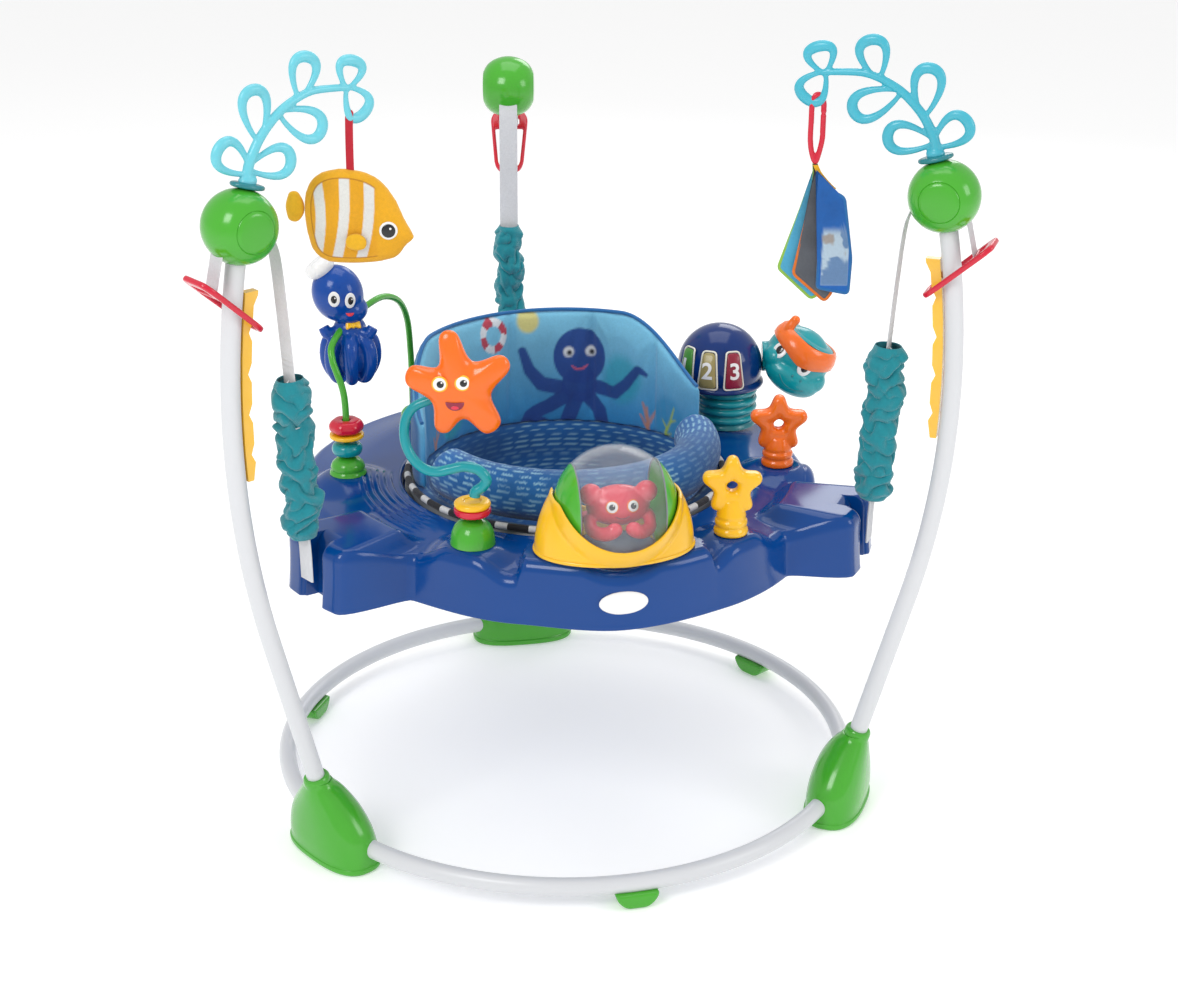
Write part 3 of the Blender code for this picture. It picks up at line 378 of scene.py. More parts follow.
# ---------------------------------------------------------------- mesh helpers
def tidy(mesh, sharp=40.0):
    """Welds doubled points, turns the faces outward and shades the mesh smooth but for real edges."""
    shape = bmesh.new()
    shape.from_mesh(mesh)
    bmesh.ops.remove_doubles(shape, verts=shape.verts, dist=0.000002)
    bmesh.ops.dissolve_degenerate(shape, edges=shape.edges, dist=0.000001)
    bmesh.ops.recalc_face_normals(shape, faces=shape.faces)
    shape.to_mesh(mesh)
    shape.free()
    mesh.shade_smooth()
    mesh.set_sharp_from_angle(angle=math.radians(sharp))
    return mesh


def grid_mesh(name, rows, around=True, through=False, capped=True, laid=None, sharp=40.0):
    """A skin over equal rows of points. around closes each row, through joins the last row to the first."""
    rows = np.asarray(rows, float)
    count, width = rows.shape[:2]
    faces = []
    for i in range(count if through else count - 1):
        for j in range(width if around else width - 1):
            k, m = (j + 1) % width, (i + 1) % count
            faces.append((i * width + j, i * width + k, m * width + k, m * width + j))
    if around and capped and not through:
        faces.append(tuple(range(width)))
        faces.append(tuple(range((count - 1) * width, count * width)))
    mesh = bpy.data.meshes.new(name)
    mesh.from_pydata(rows.reshape(-1, 3).tolist(), [], faces)
    if laid is not None:
        set_laid(mesh, np.asarray(laid, float).reshape(-1, 2))
    return tidy(mesh, sharp)


def set_laid(mesh, spots):
    """Stores where each point lies on its flat cloth, in metres, for the weave."""
    layer = mesh.attributes.get("laid") or mesh.attributes.new("laid", "FLOAT_VECTOR", "POINT")
    values = np.zeros((len(spots), 3), np.float32)
    values[:, :2] = spots
    layer.data.foreach_set("vector", values.ravel())


def set_print(mesh, colours):
    layer = mesh.attributes.get("print") or mesh.attributes.new("print", "FLOAT_COLOR", "POINT")
    values = np.ones((len(colours), 4), np.float32)
    values[:, :3] = colours
    layer.data.foreach_set("color", values.ravel())


def points_of(mesh):
    spots = np.zeros(len(mesh.vertices) * 3)
    mesh.vertices.foreach_get("co", spots)
    return spots.reshape(-1, 3)


def set_points(mesh, spots):
    mesh.vertices.foreach_set("co", np.asarray(spots, np.float32).ravel())
    mesh.update()


def smooth_line(points, per_span=8, closed=False):
    """A smooth curve through points."""
    points = [np.asarray(point, float) for point in points]
    count = len(points)
    spans = count if closed else count - 1
    line = []
    for i in range(spans):
        if closed:
            a, b, c, d = (points[(i + k) % count] for k in (-1, 0, 1, 2))
        else:
            b, c = points[i], points[i + 1]
            a = points[i - 1] if i else 2 * b - c
            d = points[i + 2] if i + 2 < count else 2 * c - b
        for step in range(per_span):
            t = step / per_span
            line.append(
                0.5 * (2 * b + (c - a) * t + (2 * a - 5 * b + 4 * c - d) * t * t + (3 * b - a - 3 * c + d)
                       * t ** 3)
            )
    if not closed:
        line.append(points[-1])
    return line


def sweep_mesh(name, line, radius, sides=20, closed=False, oval=1.0, lie=None):
    """A bar along a line. radius is one number or one for each point; lie fixes the section's turn."""
    line = np.asarray(line, float)
    count = len(line)
    radii = np.broadcast_to(radius, count)
    before, after = np.roll(line, 1, 0), np.roll(line, -1, 0)
    if not closed:
        before[0], after[-1] = line[0], line[-1]
    along = after - before
    along /= np.linalg.norm(along, axis=1)[:, None]
    first = np.array(lie if lie is not None else (0.31, 0.47, 0.83), float)
    rows, laid = [], []
    run = 0.0
    side = first
    for i in range(count):
        if lie is not None:
            side = first
        side = side - along[i] * (side @ along[i])
        side = side / np.linalg.norm(side)
        other = np.cross(along[i], side)
        if i:
            run += float(np.linalg.norm(line[i] - line[i - 1]))
        angles = [math.tau * k / sides for k in range(sides)]
        rows.append([line[i] + radii[i] * (side * math.cos(a) + other * oval * math.sin(a)) for a in angles])
        laid.append([(run, radii[i] * a) for a in angles])
    return grid_mesh(name, rows, through=closed, laid=laid)


def lathe_mesh(name, profile, steps=48, ring=False, sharp=40.0):
    """A turned shape about Z from (radius, height) points."""
    rows, laid = [], []
    for i in range(steps):
        angle = math.tau * i / steps
        rows.append([(r * math.cos(angle), r * math.sin(angle), z) for r, z in profile])
        laid.append([(r * angle, z) for r, z in profile])
    return grid_mesh(name, rows, around=ring, through=True, laid=laid, sharp=sharp)


def rounded(points, radius, steps=5, closed=True):
    """A polyline with each corner rounded off by a curve."""
    points = [Vector(point) for point in points]
    count = len(points)
    made = []
    for i, corner in enumerate(points):
        if not closed and i in (0, count - 1):
            made.append(tuple(corner))
            continue
        before, after = points[i - 1], points[(i + 1) % count]
        reach = min(radius, (before - corner).length * 0.48, (after - corner).length * 0.48)
        start = corner + (before - corner).normalized() * reach
        end = corner + (after - corner).normalized() * reach
        for step in range(steps + 1):
            t = step / steps
            made.append(tuple(start * (1 - t) ** 2 + corner * 2 * t * (1 - t) + end * t * t))
    return made


def circle(radius, count=32, centre=(0.0, 0.0)):
    angles = [math.tau * i / count for i in range(count)]
    return [(centre[0] + radius * math.cos(angle), centre[1] + radius * math.sin(angle)) for angle in angles]


def plate_mesh(name, outlines, depth, bevel, place=None):
    """A flat plate with rounded edges: an outline and its holes in XY, depth along Z."""
    curve = bpy.data.curves.new(name, "CURVE")
    curve.dimensions = "2D"
    curve.fill_mode = "BOTH"
    curve.extrude = depth / 2 - bevel
    curve.bevel_depth = bevel
    curve.bevel_resolution = 3
    curve.offset = -bevel
    for outline in outlines:
        spline = curve.splines.new("POLY")
        spline.points.add(len(outline) - 1)
        for spot, point in zip(spline.points, outline):
            spot.co = (point[0], point[1], 0.0, 1.0)
        spline.use_cyclic_u = True
    return curve_to_mesh(curve, place)


def curve_to_mesh(curve, place=None):
    holder = bpy.data.objects.new(curve.name, curve)
    SCENE.collection.objects.link(holder)
    bpy.context.view_layer.update()
    graph = bpy.context.evaluated_depsgraph_get()
    mesh = bpy.data.meshes.new_from_object(holder.evaluated_get(graph))
    bpy.data.objects.remove(holder)
    tidy(mesh, 35.0)
    if place is not None:
        mesh.transform(place)
    return mesh


def ellipsoid_mesh(name, radii, place=None, around=48, up=24):
    shape = bmesh.new()
    bmesh.ops.create_uvsphere(shape, u_segments=around, v_segments=up, radius=1.0)
    bmesh.ops.transform(shape, matrix=Matrix.Diagonal((*radii, 1.0)), verts=shape.verts)
    mesh = bpy.data.meshes.new(name)
    shape.to_mesh(mesh)
    shape.free()
    mesh.shade_smooth()
    if place is not None:
        mesh.transform(place)
    return mesh


def pillow_mesh(name, outline, depth, fullness=2.6, rings=14, place=None):
    """A solid star, leaf or disc that is round all over: the outline drawn in towards its middle."""
    outline = np.asarray(outline, float)
    rows = []
    for side in (1, -1):
        for i in range(rings):
            share = (i + 1) / rings if side > 0 else 1.0 - i / rings
            if side < 0 and i == 0:
                continue
            spread = math.sin(share * math.pi / 2)
            height = depth / 2 * (1 - spread ** fullness) ** (1 / fullness)
            rows.append([(x * spread, y * spread, side * height) for x, y in outline])
    mesh = grid_mesh(name, rows, sharp=75.0)
    if place is not None:
        mesh.transform(place)
    return mesh


def joined(name, meshes):
    """Several meshes in one datablock."""
    shape = bmesh.new()
    for mesh in meshes:
        shape.from_mesh(mesh)
    made = bpy.data.meshes.new(name)
    shape.to_mesh(made)
    shape.free()
    made.shade_smooth()
    return made


def evaluated(name, mesh, *changes):
    """The mesh after modifiers, each given as (kind, settings)."""
    holder = bpy.data.objects.new(name, mesh)
    SCENE.collection.objects.link(holder)
    for kind, settings in changes:
        change = holder.modifiers.new(kind, kind)
        for key, value in settings.items():
            setattr(change, key, value)
    bpy.context.view_layer.update()
    graph = bpy.context.evaluated_depsgraph_get()
    made = bpy.data.meshes.new_from_object(holder.evaluated_get(graph))
    made.name = name
    bpy.data.objects.remove(holder)
    return made


def fused(name, meshes, voxel=0.0012, relax=6):
    """Several overlapping shapes grown into one smooth moulded body."""
    made = evaluated(
        name, joined(name, meshes),
        ("REMESH", {"mode": "VOXEL", "voxel_size": voxel, "use_smooth_shade": True}),
        ("SMOOTH", {"factor": 0.5, "iterations": relax}),
    )
    made.shade_smooth()
    return made


def subdivided(name, mesh, levels=1):
    made = evaluated(name, mesh, ("SUBSURF", {"levels": levels, "render_levels": levels}))
    made.shade_smooth()
    return made


def puffed(name, mesh, voxel, cap, held=None, pressure=4.0):
    """The mesh filled like a stuffed cover by a short cloth simulation. held says how firmly points stay."""
    start = evaluated(name, mesh,
                      ("REMESH", {"mode": "VOXEL", "voxel_size": voxel, "use_smooth_shade": True}))
    rest = points_of(start)
    pad = bpy.data.objects.new(name + "_pad", start.copy())
    SCENE.collection.objects.link(pad)
    push = pad.modifiers.new("Cloth", "CLOTH")
    push.settings.quality = 4
    push.settings.mass = 0.2
    push.settings.tension_stiffness = 12.0
    push.settings.compression_stiffness = 12.0
    push.settings.shear_stiffness = 4.0
    push.settings.bending_stiffness = 0.4
    push.settings.use_pressure = True
    push.settings.uniform_pressure_force = pressure
    push.settings.effector_weights.gravity = 0.0
    push.collision_settings.use_collision = False
    if held is not None:
        group = pad.vertex_groups.new(name="held")
        for i, weight in enumerate(held(rest)):
            group.add([i], float(weight), "REPLACE")
        push.settings.vertex_group_mass = "held"
    for step in range(1, 21):
        SCENE.frame_set(step)
    graph = bpy.context.evaluated_depsgraph_get()
    swollen = bpy.data.meshes.new_from_object(pad.evaluated_get(graph))
    move = points_of(swollen) - rest
    size = np.linalg.norm(move, axis=1)[:, None]
    set_points(start, rest + move * np.minimum(1.0, cap / np.maximum(size, 1e-9)))
    SCENE.frame_set(1)
    bpy.data.objects.remove(pad)
    return subdivided(name, start)


def make_piece(name, mesh, paint, body, place=None, stands_for=()):
    """A finished piece, placed from the ring's centre, that rides on a body of the frame."""
    mesh.name = name
    mesh.transform(HOME @ place if place is not None else HOME)
    mesh.materials.clear()
    mesh.materials.append(paint)
    piece = bpy.data.objects.new(name, mesh)
    SCENE.collection.objects.link(piece)
    if body is not None:
        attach(piece, body)
    if stands_for:
        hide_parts(*stands_for)
    return piece


def stretched(piece, first, second, start, end):
    """Bakes the piece's placement into its mesh; first, second, start and end are not used."""
    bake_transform(piece)
    return piece


# ---------------------------------------------------------------- floor frame
BOW_START, BOW_END = 0.300, 0.770
POST_LEAN, POST_RETURN = 0.2636, -0.190


def post_radius(height):
    """How far the post's centreline stands out at a height: a lean, a bow, and a short return."""
    if height <= BOW_START:
        return 0.373 + POST_LEAN * (height - 0.040)
    bend = (POST_RETURN - POST_LEAN) / (BOW_END - BOW_START)
    rise = min(height, BOW_END) - BOW_START
    bowed = post_radius(BOW_START) + POST_LEAN * rise + bend * rise * rise / 2
    return bowed + POST_RETURN * max(0.0, height - BOW_END)


def make_ring():
    """The floor ring's three tubes, each stopping a degree short of the feet at its ends."""
    arcs = {"front": (210.0, 330.0), "right": (330.0, 450.0), "left": (90.0, 210.0)}
    for name, (start, end) in arcs.items():
        count = 90
        line = [polar(RING_RADIUS, start + 1 + (end - start - 2) * i / (count - 1),
                      RING_HEIGHT) for i in range(count)]
        make_piece(
            "ring_tube_" + name, sweep_mesh("tube", line, TUBE_RADIUS, 32, lie=(0, 0, 1)), TUBE, "frame",
            stands_for=["base_tube_" + name],
        )


def pad_foot(name, azimuth):
    """A half-moon foot that clips under the ring."""
    half = [(0.0268, 0.0195), (0.0255, 0.0140), (0.0220, 0.0078), (0.0165, 0.0026), (0.0110, 0.0)]
    outline = rounded([(-x, z) for x, z in half] + half[::-1], 0.003)
    body = plate_mesh("pad", [outline], 0.031, 0.004, STANDING)
    mesh = fused("pad", [body], 0.0013, 4)
    lowest = points_of(mesh)
    lowest[:, 2] = np.maximum(lowest[:, 2], 0.0)
    set_points(mesh, lowest)
    place = at(polar(RING_RADIUS, azimuth, 0)) @ turned_to(azimuth + 90)
    make_piece("small_foot_" + name, mesh, GREEN, "frame", place, ["pad_foot_" + name])


def make_foot(side):
    """A tall moulded foot, like a helmet, with a rolled hem and a small collar round the post."""
    shapes = [
        (0.0000, 0.3690, 0.0345, 0.0705), (0.0030, 0.3690, 0.0370, 0.0728), (0.0075, 0.3690, 0.0370, 0.0728),
        (0.0098, 0.3692, 0.0355, 0.0712), (0.0250, 0.3700, 0.0362, 0.0706), (0.0420, 0.3712, 0.0352, 0.0675),
        (0.0560, 0.3730, 0.0332, 0.0605), (0.0700, 0.3754, 0.0302, 0.0500), (0.0830, 0.3790, 0.0262, 0.0382),
        (0.0930, 0.3824, 0.0222, 0.0285), (0.1000, 0.3860, 0.0188, 0.0210), (0.1060, 0.3888, 0.0168, 0.0176),
    ]
    rows = []
    for height, centre, depth, width in smooth_line(shapes, 4):
        square = 0.76 + 0.24 * min(1.0, height / 0.1)
        row = []
        for angle in np.linspace(0, math.tau, 73)[:-1]:
            across, along = math.cos(angle), math.sin(angle)
            row.append((
                centre + depth * math.copysign(abs(across) ** square, across),
                width * math.copysign(abs(along) ** square, along), height,
            ))
        rows.append(row)
    body = grid_mesh("foot", rows, sharp=50.0)
    collar_line = [(post_radius(z), 0, z) for z in np.linspace(0.099, 0.112, 8)]
    collar = sweep_mesh("collar", collar_line,
                        [0.0158, 0.0163, 0.0164, 0.0164, 0.0164, 0.0163, 0.0158, 0.0145], 40)
    make_piece(
        "floor_foot_" + side, joined("foot", [body, collar]), GREEN, "frame", turned_to(POSTS[side]),
        ["foot_" + side],
    )


# ---------------------------------------------------------------- posts
STRAP_LINE = (
    (0.4919, 0.7385), (0.4890, 0.7500), (0.4860, 0.7620), (0.4830, 0.7740), (0.4770, 0.7920),
    (0.4670, 0.8090), (0.4528, 0.8160), (0.4390, 0.8110), (0.4270, 0.7980), (0.4170, 0.7800),
    (0.4110, 0.7580), (0.4060, 0.7000), (0.4005, 0.6130),
)
RING_HOOK = Vector((0.4415, 0, 0.6865))
RING_PULL = Vector((0.5120, 0, 0.7500))
STRAP_WIDTH = 0.0245


def webbing_mesh(name, line, width=STRAP_WIDTH, thickness=0.0016):
    """A woven strap along a line of (radius, height), with bound edges a little thicker than its middle."""
    line = [np.array((point[0], point[1])) for point in smooth_line(line, 6)]
    across = np.linspace(-1.0, 1.0, 15)
    rows, laid, run = [], [], 0.0
    for i, point in enumerate(line):
        along = line[min(i + 1, len(line) - 1)] - line[max(i - 1, 0)]
        along /= np.linalg.norm(along)
        outward = np.array((-along[1], along[0]))
        if i:
            run += float(np.linalg.norm(point - line[i - 1]))
        row, spots = [], []
        for face in (1, -1):
            for share in across if face > 0 else across[::-1]:
                edge = 0.30 * math.exp(-((abs(share) - 0.90) / 0.06) ** 2)
                half = thickness / 2 * (1 + edge) * math.sqrt(max(0.0, 1 - share ** 12))
                spot = point + outward * half * face
                row.append((spot[0], share * width / 2, spot[1]))
                spots.append((run, share * width / 2))
        rows.append(row)
        laid.append(spots)
    return grid_mesh(name, rows, laid=laid, sharp=60.0)


def make_pod(side):
    """The housing on top of a post: an egg-shaped barrel with a plain round cap on each flank."""
    half = [(0.0, 0.0356), (0.010, 0.0354), (0.0178, 0.0349), (0.0215, 0.0340), (0.0226, 0.0330),
            (0.0232, 0.0322),
            (0.0240, 0.0328), (0.0262, 0.0316), (0.0300, 0.0288), (0.0335, 0.0250), (0.0365, 0.0202),
            (0.0388, 0.0148), (0.0404, 0.0092), (0.0412, 0.0040), (0.0414, 0.0)]
    profile = half + [(radius, -height) for radius, height in reversed(half[:-1])]
    barrel = lathe_mesh("pod", profile, 72, sharp=55.0)
    barrel.transform(STANDING)
    place = head_place(side) @ at((post_radius(POD_HEIGHT), 0, POD_HEIGHT))
    make_piece("post_top_" + side, barrel, GREEN, "frame", place, ["pod_" + side])


def make_adjuster(side):
    """The pull ring that hooks on the rack: a flat wedge with a window, and a slot for the strap."""
    length = (RING_PULL - RING_HOOK).length
    tilt = math.atan2(RING_PULL.z - RING_HOOK.z, RING_PULL.x - RING_HOOK.x)

    def mirrored(half):
        return half + [(x, -y) for x, y in reversed(half)]

    edge = rounded(mirrored([(-0.0035, 0.0130), (0.0030, 0.0180), (0.0120, 0.0205), (length - 0.0100, 0.0262),
                             (length + 0.0035, 0.0200)]), 0.006, 6)
    window = rounded(mirrored([(0.0042, 0.0120), (0.0110, 0.0150), (length - 0.0260, 0.0198)]), 0.004, 5)
    slot = rounded(mirrored([(length - 0.0200, 0.0140), (length - 0.0085, 0.0140)]), 0.003, 4)
    flat = plate_mesh("ring", [edge, window, slot], 0.0066, 0.0024)
    place = head_place(side) @ at(RING_HOOK) @ Matrix.Rotation(-tilt, 4, "Y")
    make_piece("pull_ring_" + side, flat, RED, "ring_" + side, place,
               ["adjuster_ring_" + side])


def make_straps(side):
    """The strap from the pull ring over the pod, down to the spring's sleeve, and on to the tray."""
    turn = head_place(side)
    outer_line = [(0.4951, 0.7330)] + list(STRAP_LINE[:4]) + [(0.4790, 0.7860)]
    outer = make_piece("outer_strap_" + side, webbing_mesh("strap", outer_line), WEBBING, None, turn)
    stretched(outer, "frame", "ring_" + side, turn @ Vector((0.4830, 0, 0.7740)),
              turn @ Vector((0.4919, 0, 0.7385)))
    inner_line = list(STRAP_LINE[8:-1]) + [(0.3998, 0.6060)]
    inner = make_piece(
        "inner_strap_" + side, webbing_mesh("strap", inner_line), WEBBING, None, turn,
        ["strap_" + side],
    )
    ends = turn @ Vector((0.41, 0, 0.7700)), turn @ Vector((0.41, 0, 0.6200))
    stretched(inner, "frame", "height_carriage", *ends)
    stitches = []
    for row in range(3):
        for i in range(7):
            left, height = -0.0096 + 0.0030 * i, 0.6330 + 0.0060 * row
            line = [(0.4032, left, height), (0.4032, left + 0.0018, height)]
            stitches.append(sweep_mesh("stitch", line, 0.00035, 6))
    thread = make_piece("strap_stitches_" + side, joined("stitches", stitches), WHITE_CLOTH, None, turn)
    stretched(thread, "frame", "height_carriage", *ends)
    tail_line = [(0.3921, 0.4380), (0.3914, 0.4200), (0.3905, 0.4050), (0.3901, 0.3880), (0.3898, 0.3700)]
    make_piece(
        "tray_strap_" + side, webbing_mesh("strap", tail_line, thickness=0.0030), WEBBING, "tray", turn,
        ["lower_strap_" + side],
    )


SLEEVE_TOP = Vector((0.4000, 0, 0.6180))
SLEEVE_BOTTOM = Vector((0.3915, 0, 0.4250))


def sleeve_mesh(seed):
    """A cloth tube gathered on its elastic: uneven puffs with slanting folds between the gathers."""
    length = (SLEEVE_TOP - SLEEVE_BOTTOM).length
    levels, around = 190, 84
    rows, laid = [], []
    for i in range(levels):
        share = i / (levels - 1)
        ends = min(1.0, share / 0.06, (1 - share) / 0.06)
        sway = [0.0075 * ends * noise.noise(Vector((share * 6.5, seed * 7.0 + axis * 31.0, 0.0)))
                for axis in range(2)]
        row, spots = [], []
        for k in range(around):
            angle = math.tau * k / around
            spot = Vector((math.cos(angle), math.sin(angle), share * 6.0 + seed * 9.0))
            drift = 2.4 * noise.noise(spot * 1.2)
            rising = abs(math.sin(angle + share * 24.0 + drift)) ** 0.55
            falling = abs(math.sin(-angle + share * 29.0 - drift)) ** 0.55
            choice = float(smooth_step(0.5 + 1.6 * noise.noise(spot * 0.8 + Vector((4.0, 0.0, 0.0)))))
            fold = noise.noise(spot * 1.7)
            radius = 0.0142 + ends * (0.0070 * (rising * choice + falling * (1 - choice)) + 0.0040 * fold)
            row.append((
                sway[0] + math.cos(angle) * radius * 1.10, sway[1] + math.sin(angle) * radius * 0.94,
                share * length,
            ))
            spots.append((0.024 * angle, share * length * 1.6))
        rows.append(row)
        laid.append(spots)
    skin = grid_mesh("sleeve", rows, capped=False, laid=laid, sharp=180.0)
    return evaluated("sleeve", skin, ("SOLIDIFY", {"thickness": 0.0009, "offset": -1.0}))


def make_spring_unit(side, seed):
    axis = SLEEVE_TOP - SLEEVE_BOTTOM
    lean = Matrix.Rotation(math.atan2(axis.x, axis.z), 4, "Y")
    place = head_place(side) @ at(SLEEVE_BOTTOM) @ lean
    ends = [head_place(side) @ point for point in (SLEEVE_TOP, SLEEVE_BOTTOM)]
    sleeve = make_piece(
        "gathered_sleeve_" + side, sleeve_mesh(seed), SLEEVE_CLOTH, None, place,
        ["spring_sleeve_" + side],
    )
    stretched(sleeve, "height_carriage", "tray", *ends)
    turns, steps, length = 22, 14, axis.length
    helix = []
    for i in range(turns * steps + 1):
        angle = math.tau * i / steps
        helix.append((0.0092 * math.cos(angle), 0.0092 * math.sin(angle),
                      0.022 + (length - 0.038) * i / (turns * steps)))
    low_hook = smooth_line([(0.0, 0.0, 0.002), (0.0052, 0.0, 0.008), (0.0092, 0.0, 0.018)], 5)
    high_hook = smooth_line([(0.0092, 0.0, length - 0.013), (0.0052, 0, length - 0.006),
                             (0, 0, length - 0.002)], 5)
    wire = sweep_mesh("spring", low_hook + helix[1:-1] + high_hook, 0.0011, 8)
    coil = make_piece("coil_spring_" + side, wire, STEEL, None, place, ["spring_" + side])
    stretched(coil, "height_carriage", "tray", *ends)
    return sleeve


def make_post(side, seed):
    turn = turned_to(POSTS[side])
    line = [(post_radius(z), 0, z) for z in np.linspace(0.0465, 0.783, 80)]
    make_piece(
        "post_tube_" + side, sweep_mesh("tube", line, TUBE_RADIUS, 36, lie=(0, 1, 0)), TUBE, "frame", turn,
        ["leg_tube_" + side],
    )
    make_foot(side)
    make_pod(side)
    make_adjuster(side)
    make_straps(side)
    make_spring_unit(side, seed)
    rack = frame["nodes"]["height_rack_" + side]
    rack.data.materials.clear()
    rack.data.materials.append(YELLOW)
    soft_edge = rack.modifiers.new("soft_edge", "BEVEL")
    soft_edge.width = 0.0009
    soft_edge.segments = 3
    soft_edge.limit_method = "ANGLE"
    for polygon in rack.data.polygons:
        polygon.use_smooth = False


# ---------------------------------------------------------------- tray
TRAY_RIM = (
    (0, 0.318), (30, 0.338), (60, 0.342), (90, 0.344), (120, 0.346), (150, 0.346), (180, 0.328),
    (225, 0.304), (250, 0.314), (272, 0.332), (295, 0.324), (330, 0.316), (360, 0.318),
)
RIM_BOTTOM = 0.340
LOBE_REACH, LOBE_TOP = 0.388, 0.417
SLOT_HALF_WIDTH, SLOT_DEPTH_RADIUS = 0.0165, 0.367
HOLE_RADIUS, LEDGE_RADIUS, LEDGE_TOP = 0.176, 0.205, 0.384
DECK_TOP = 0.4185
TRAY_LOBES = (210.0, 330.0, 91.5)
DISH_CENTRE, DISH_RADIUS = Vector((0.008, -0.278, 0.4715)), 0.0735
MOUNDS = (
    (polar(0.272, 175.6, 0.414), 0.0245), (polar(0.268, 236.5, 0.414), 0.0270),
    (polar(0.289, 301.7, 0.414), 0.0215), (polar(0.266, 349.7, 0.416), 0.0255),
)


def plain_rim(azimuth):
    stops = np.array(TRAY_RIM, float)
    azimuth = np.asarray(azimuth, float) % 360.0
    i = np.clip(np.searchsorted(stops[:, 0], azimuth, side="right") - 1, 0, len(stops) - 2)
    share = smooth_step((azimuth - stops[i, 0]) / (stops[i + 1, 0] - stops[i, 0]))
    return stops[i, 1] + (stops[i + 1, 1] - stops[i, 1]) * share


def lobe_share(azimuth, flat=7.0, reach=14.0):
    return np.max([bump(turn_between(azimuth, lobe), flat, reach) for lobe in TRAY_LOBES], axis=0)


def rim_radius(azimuth):
    """The tray's edge: a soft round, three lobes, and the slot for a strap in each lobe."""
    plain = plain_rim(azimuth)
    full = plain + (LOBE_REACH - plain) * lobe_share(azimuth)
    off = np.min([turn_between(azimuth, lobe) for lobe in TRAY_LOBES], axis=0)
    reach = np.radians(off) * 0.378
    slot = bump(reach, SLOT_HALF_WIDTH, SLOT_HALF_WIDTH + 0.0012)
    corner = 0.006 * bump(np.abs(reach - SLOT_HALF_WIDTH - 0.0012), 0.0, 0.006) * (1 - slot)
    return full - corner - (full - corner - SLOT_DEPTH_RADIUS) * slot


def tray_height(x, y):
    """The tray's top: a shoulder that falls to the rim, raised lobes, the dome's deck, mounds and ripples."""
    radius, azimuth = np.hypot(x, y), np.degrees(np.arctan2(y, x)) % 360.0
    rim = plain_rim(azimuth)
    height = TRAY_TOP - 0.009 * smooth_step((radius - (rim - 0.085)) / 0.080)
    lobe = lobe_share(azimuth, 7.5, 12.5) * smooth_step((radius - 0.262) / 0.030)
    height = height + (LOBE_TOP - height) * lobe
    reach = np.hypot((x - 0.008) / 0.104, (y + 0.276) / 0.072)
    deck = bump(reach, 1.0, 1.075)
    height = height + (DECK_TOP - height) * deck
    for mound, size in MOUNDS:
        rise = bump(np.hypot(x - mound.x, y - mound.y), size * 0.95, size + 0.034)
        height = height + (mound.z - height) * rise * (height < mound.z)
    left = bump(turn_between(azimuth, 193.0), 14.0, 26.0) * bump(np.abs(radius - 0.236), 0.018, 0.026)
    height = height + 0.0014 * left * np.cos((radius - 0.212) / 0.0088 * math.tau)
    away = np.hypot(x - DISH_CENTRE.x, y - DISH_CENTRE.y)
    dish_floor = DISH_CENTRE.z - np.sqrt(np.maximum(0.0, DISH_RADIUS ** 2 - away ** 2))
    return np.where(away < DISH_RADIUS, np.minimum(height, dish_floor), height)


def tray_mesh():
    """The moulded wall: ledge round the seat hole, deck, shoulder, skirt, hem, and back underneath."""
    azimuths = set(np.arange(0.0, 360.0, 0.75).tolist())
    for post in TRAY_LOBES:
        for off in (2.28, 2.42, 2.50, 2.58, 2.68, 2.80, 3.1, 3.5):
            azimuths.update({(post + off) % 360.0, (post - off) % 360.0})
    azimuths = np.array(sorted(azimuths))
    rim = rim_radius(azimuths)
    cos, sin = np.cos(np.radians(azimuths)), np.sin(np.radians(azimuths))
    inner_top, edge = 0.2095, rim - 0.0185
    columns = []

    def column(radius, height):
        columns.append(np.stack([radius * cos, radius * sin, np.broadcast_to(height, radius.shape)], -1))

    same = np.ones_like(azimuths)
    ledge_wall = tray_height(inner_top * cos, inner_top * sin)
    for radius, height in ((HOLE_RADIUS, LEDGE_TOP - 0.004), (HOLE_RADIUS, LEDGE_TOP - 0.001),
                           (HOLE_RADIUS + 0.001, LEDGE_TOP),
                           (0.190, LEDGE_TOP), (LEDGE_RADIUS - 0.0015, LEDGE_TOP),
                           (LEDGE_RADIUS, LEDGE_TOP + 0.0015)):
        column(radius * same, height)
    for angle in np.radians(np.arange(0, 91, 15)):
        column((LEDGE_RADIUS + 0.0045 * (1 - np.cos(angle))) * same,
               ledge_wall - 0.0045 * (1 - np.sin(angle)))
    for share in np.linspace(0.0, 1.0, 74)[1:]:
        radius = inner_top + (edge - inner_top) * share
        column(radius, tray_height(radius * cos, radius * sin))
    shoulder = tray_height(edge * cos, edge * sin)
    for angle in np.radians(np.arange(7.5, 91, 7.5)):
        radius = edge + (rim - 0.0035 - edge) * np.sin(angle)
        column(radius, shoulder - 0.0165 * (1 - np.cos(angle)))
    low = shoulder - 0.0165
    for share in np.linspace(0.0, 1.0, 12)[1:]:
        column(rim - 0.0035 + 0.0030 * share ** 2, low + (RIM_BOTTOM + 0.0045 - low) * share)
    for angle in np.radians(np.arange(0, 181, 30)):
        column(rim - 0.0018 + 0.0018 * np.cos(angle), RIM_BOTTOM + 0.0022 - 0.0022 * np.sin(angle))
    column(rim - 0.0052, low)
    for share, drop in ((1.0, 0.006), (0.8, 0.004), (0.6, 0.004), (0.4, 0.004), (0.2, 0.004), (0.0, 0.004)):
        radius = inner_top + 0.004 + (edge - inner_top - 0.008) * share
        column(radius, tray_height(radius * cos, radius * sin) - drop)
    column((LEDGE_RADIUS + 0.004) * same, LEDGE_TOP - 0.004)
    rows = np.stack(columns, 1)
    return grid_mesh("tray", rows, through=True, sharp=52.0)


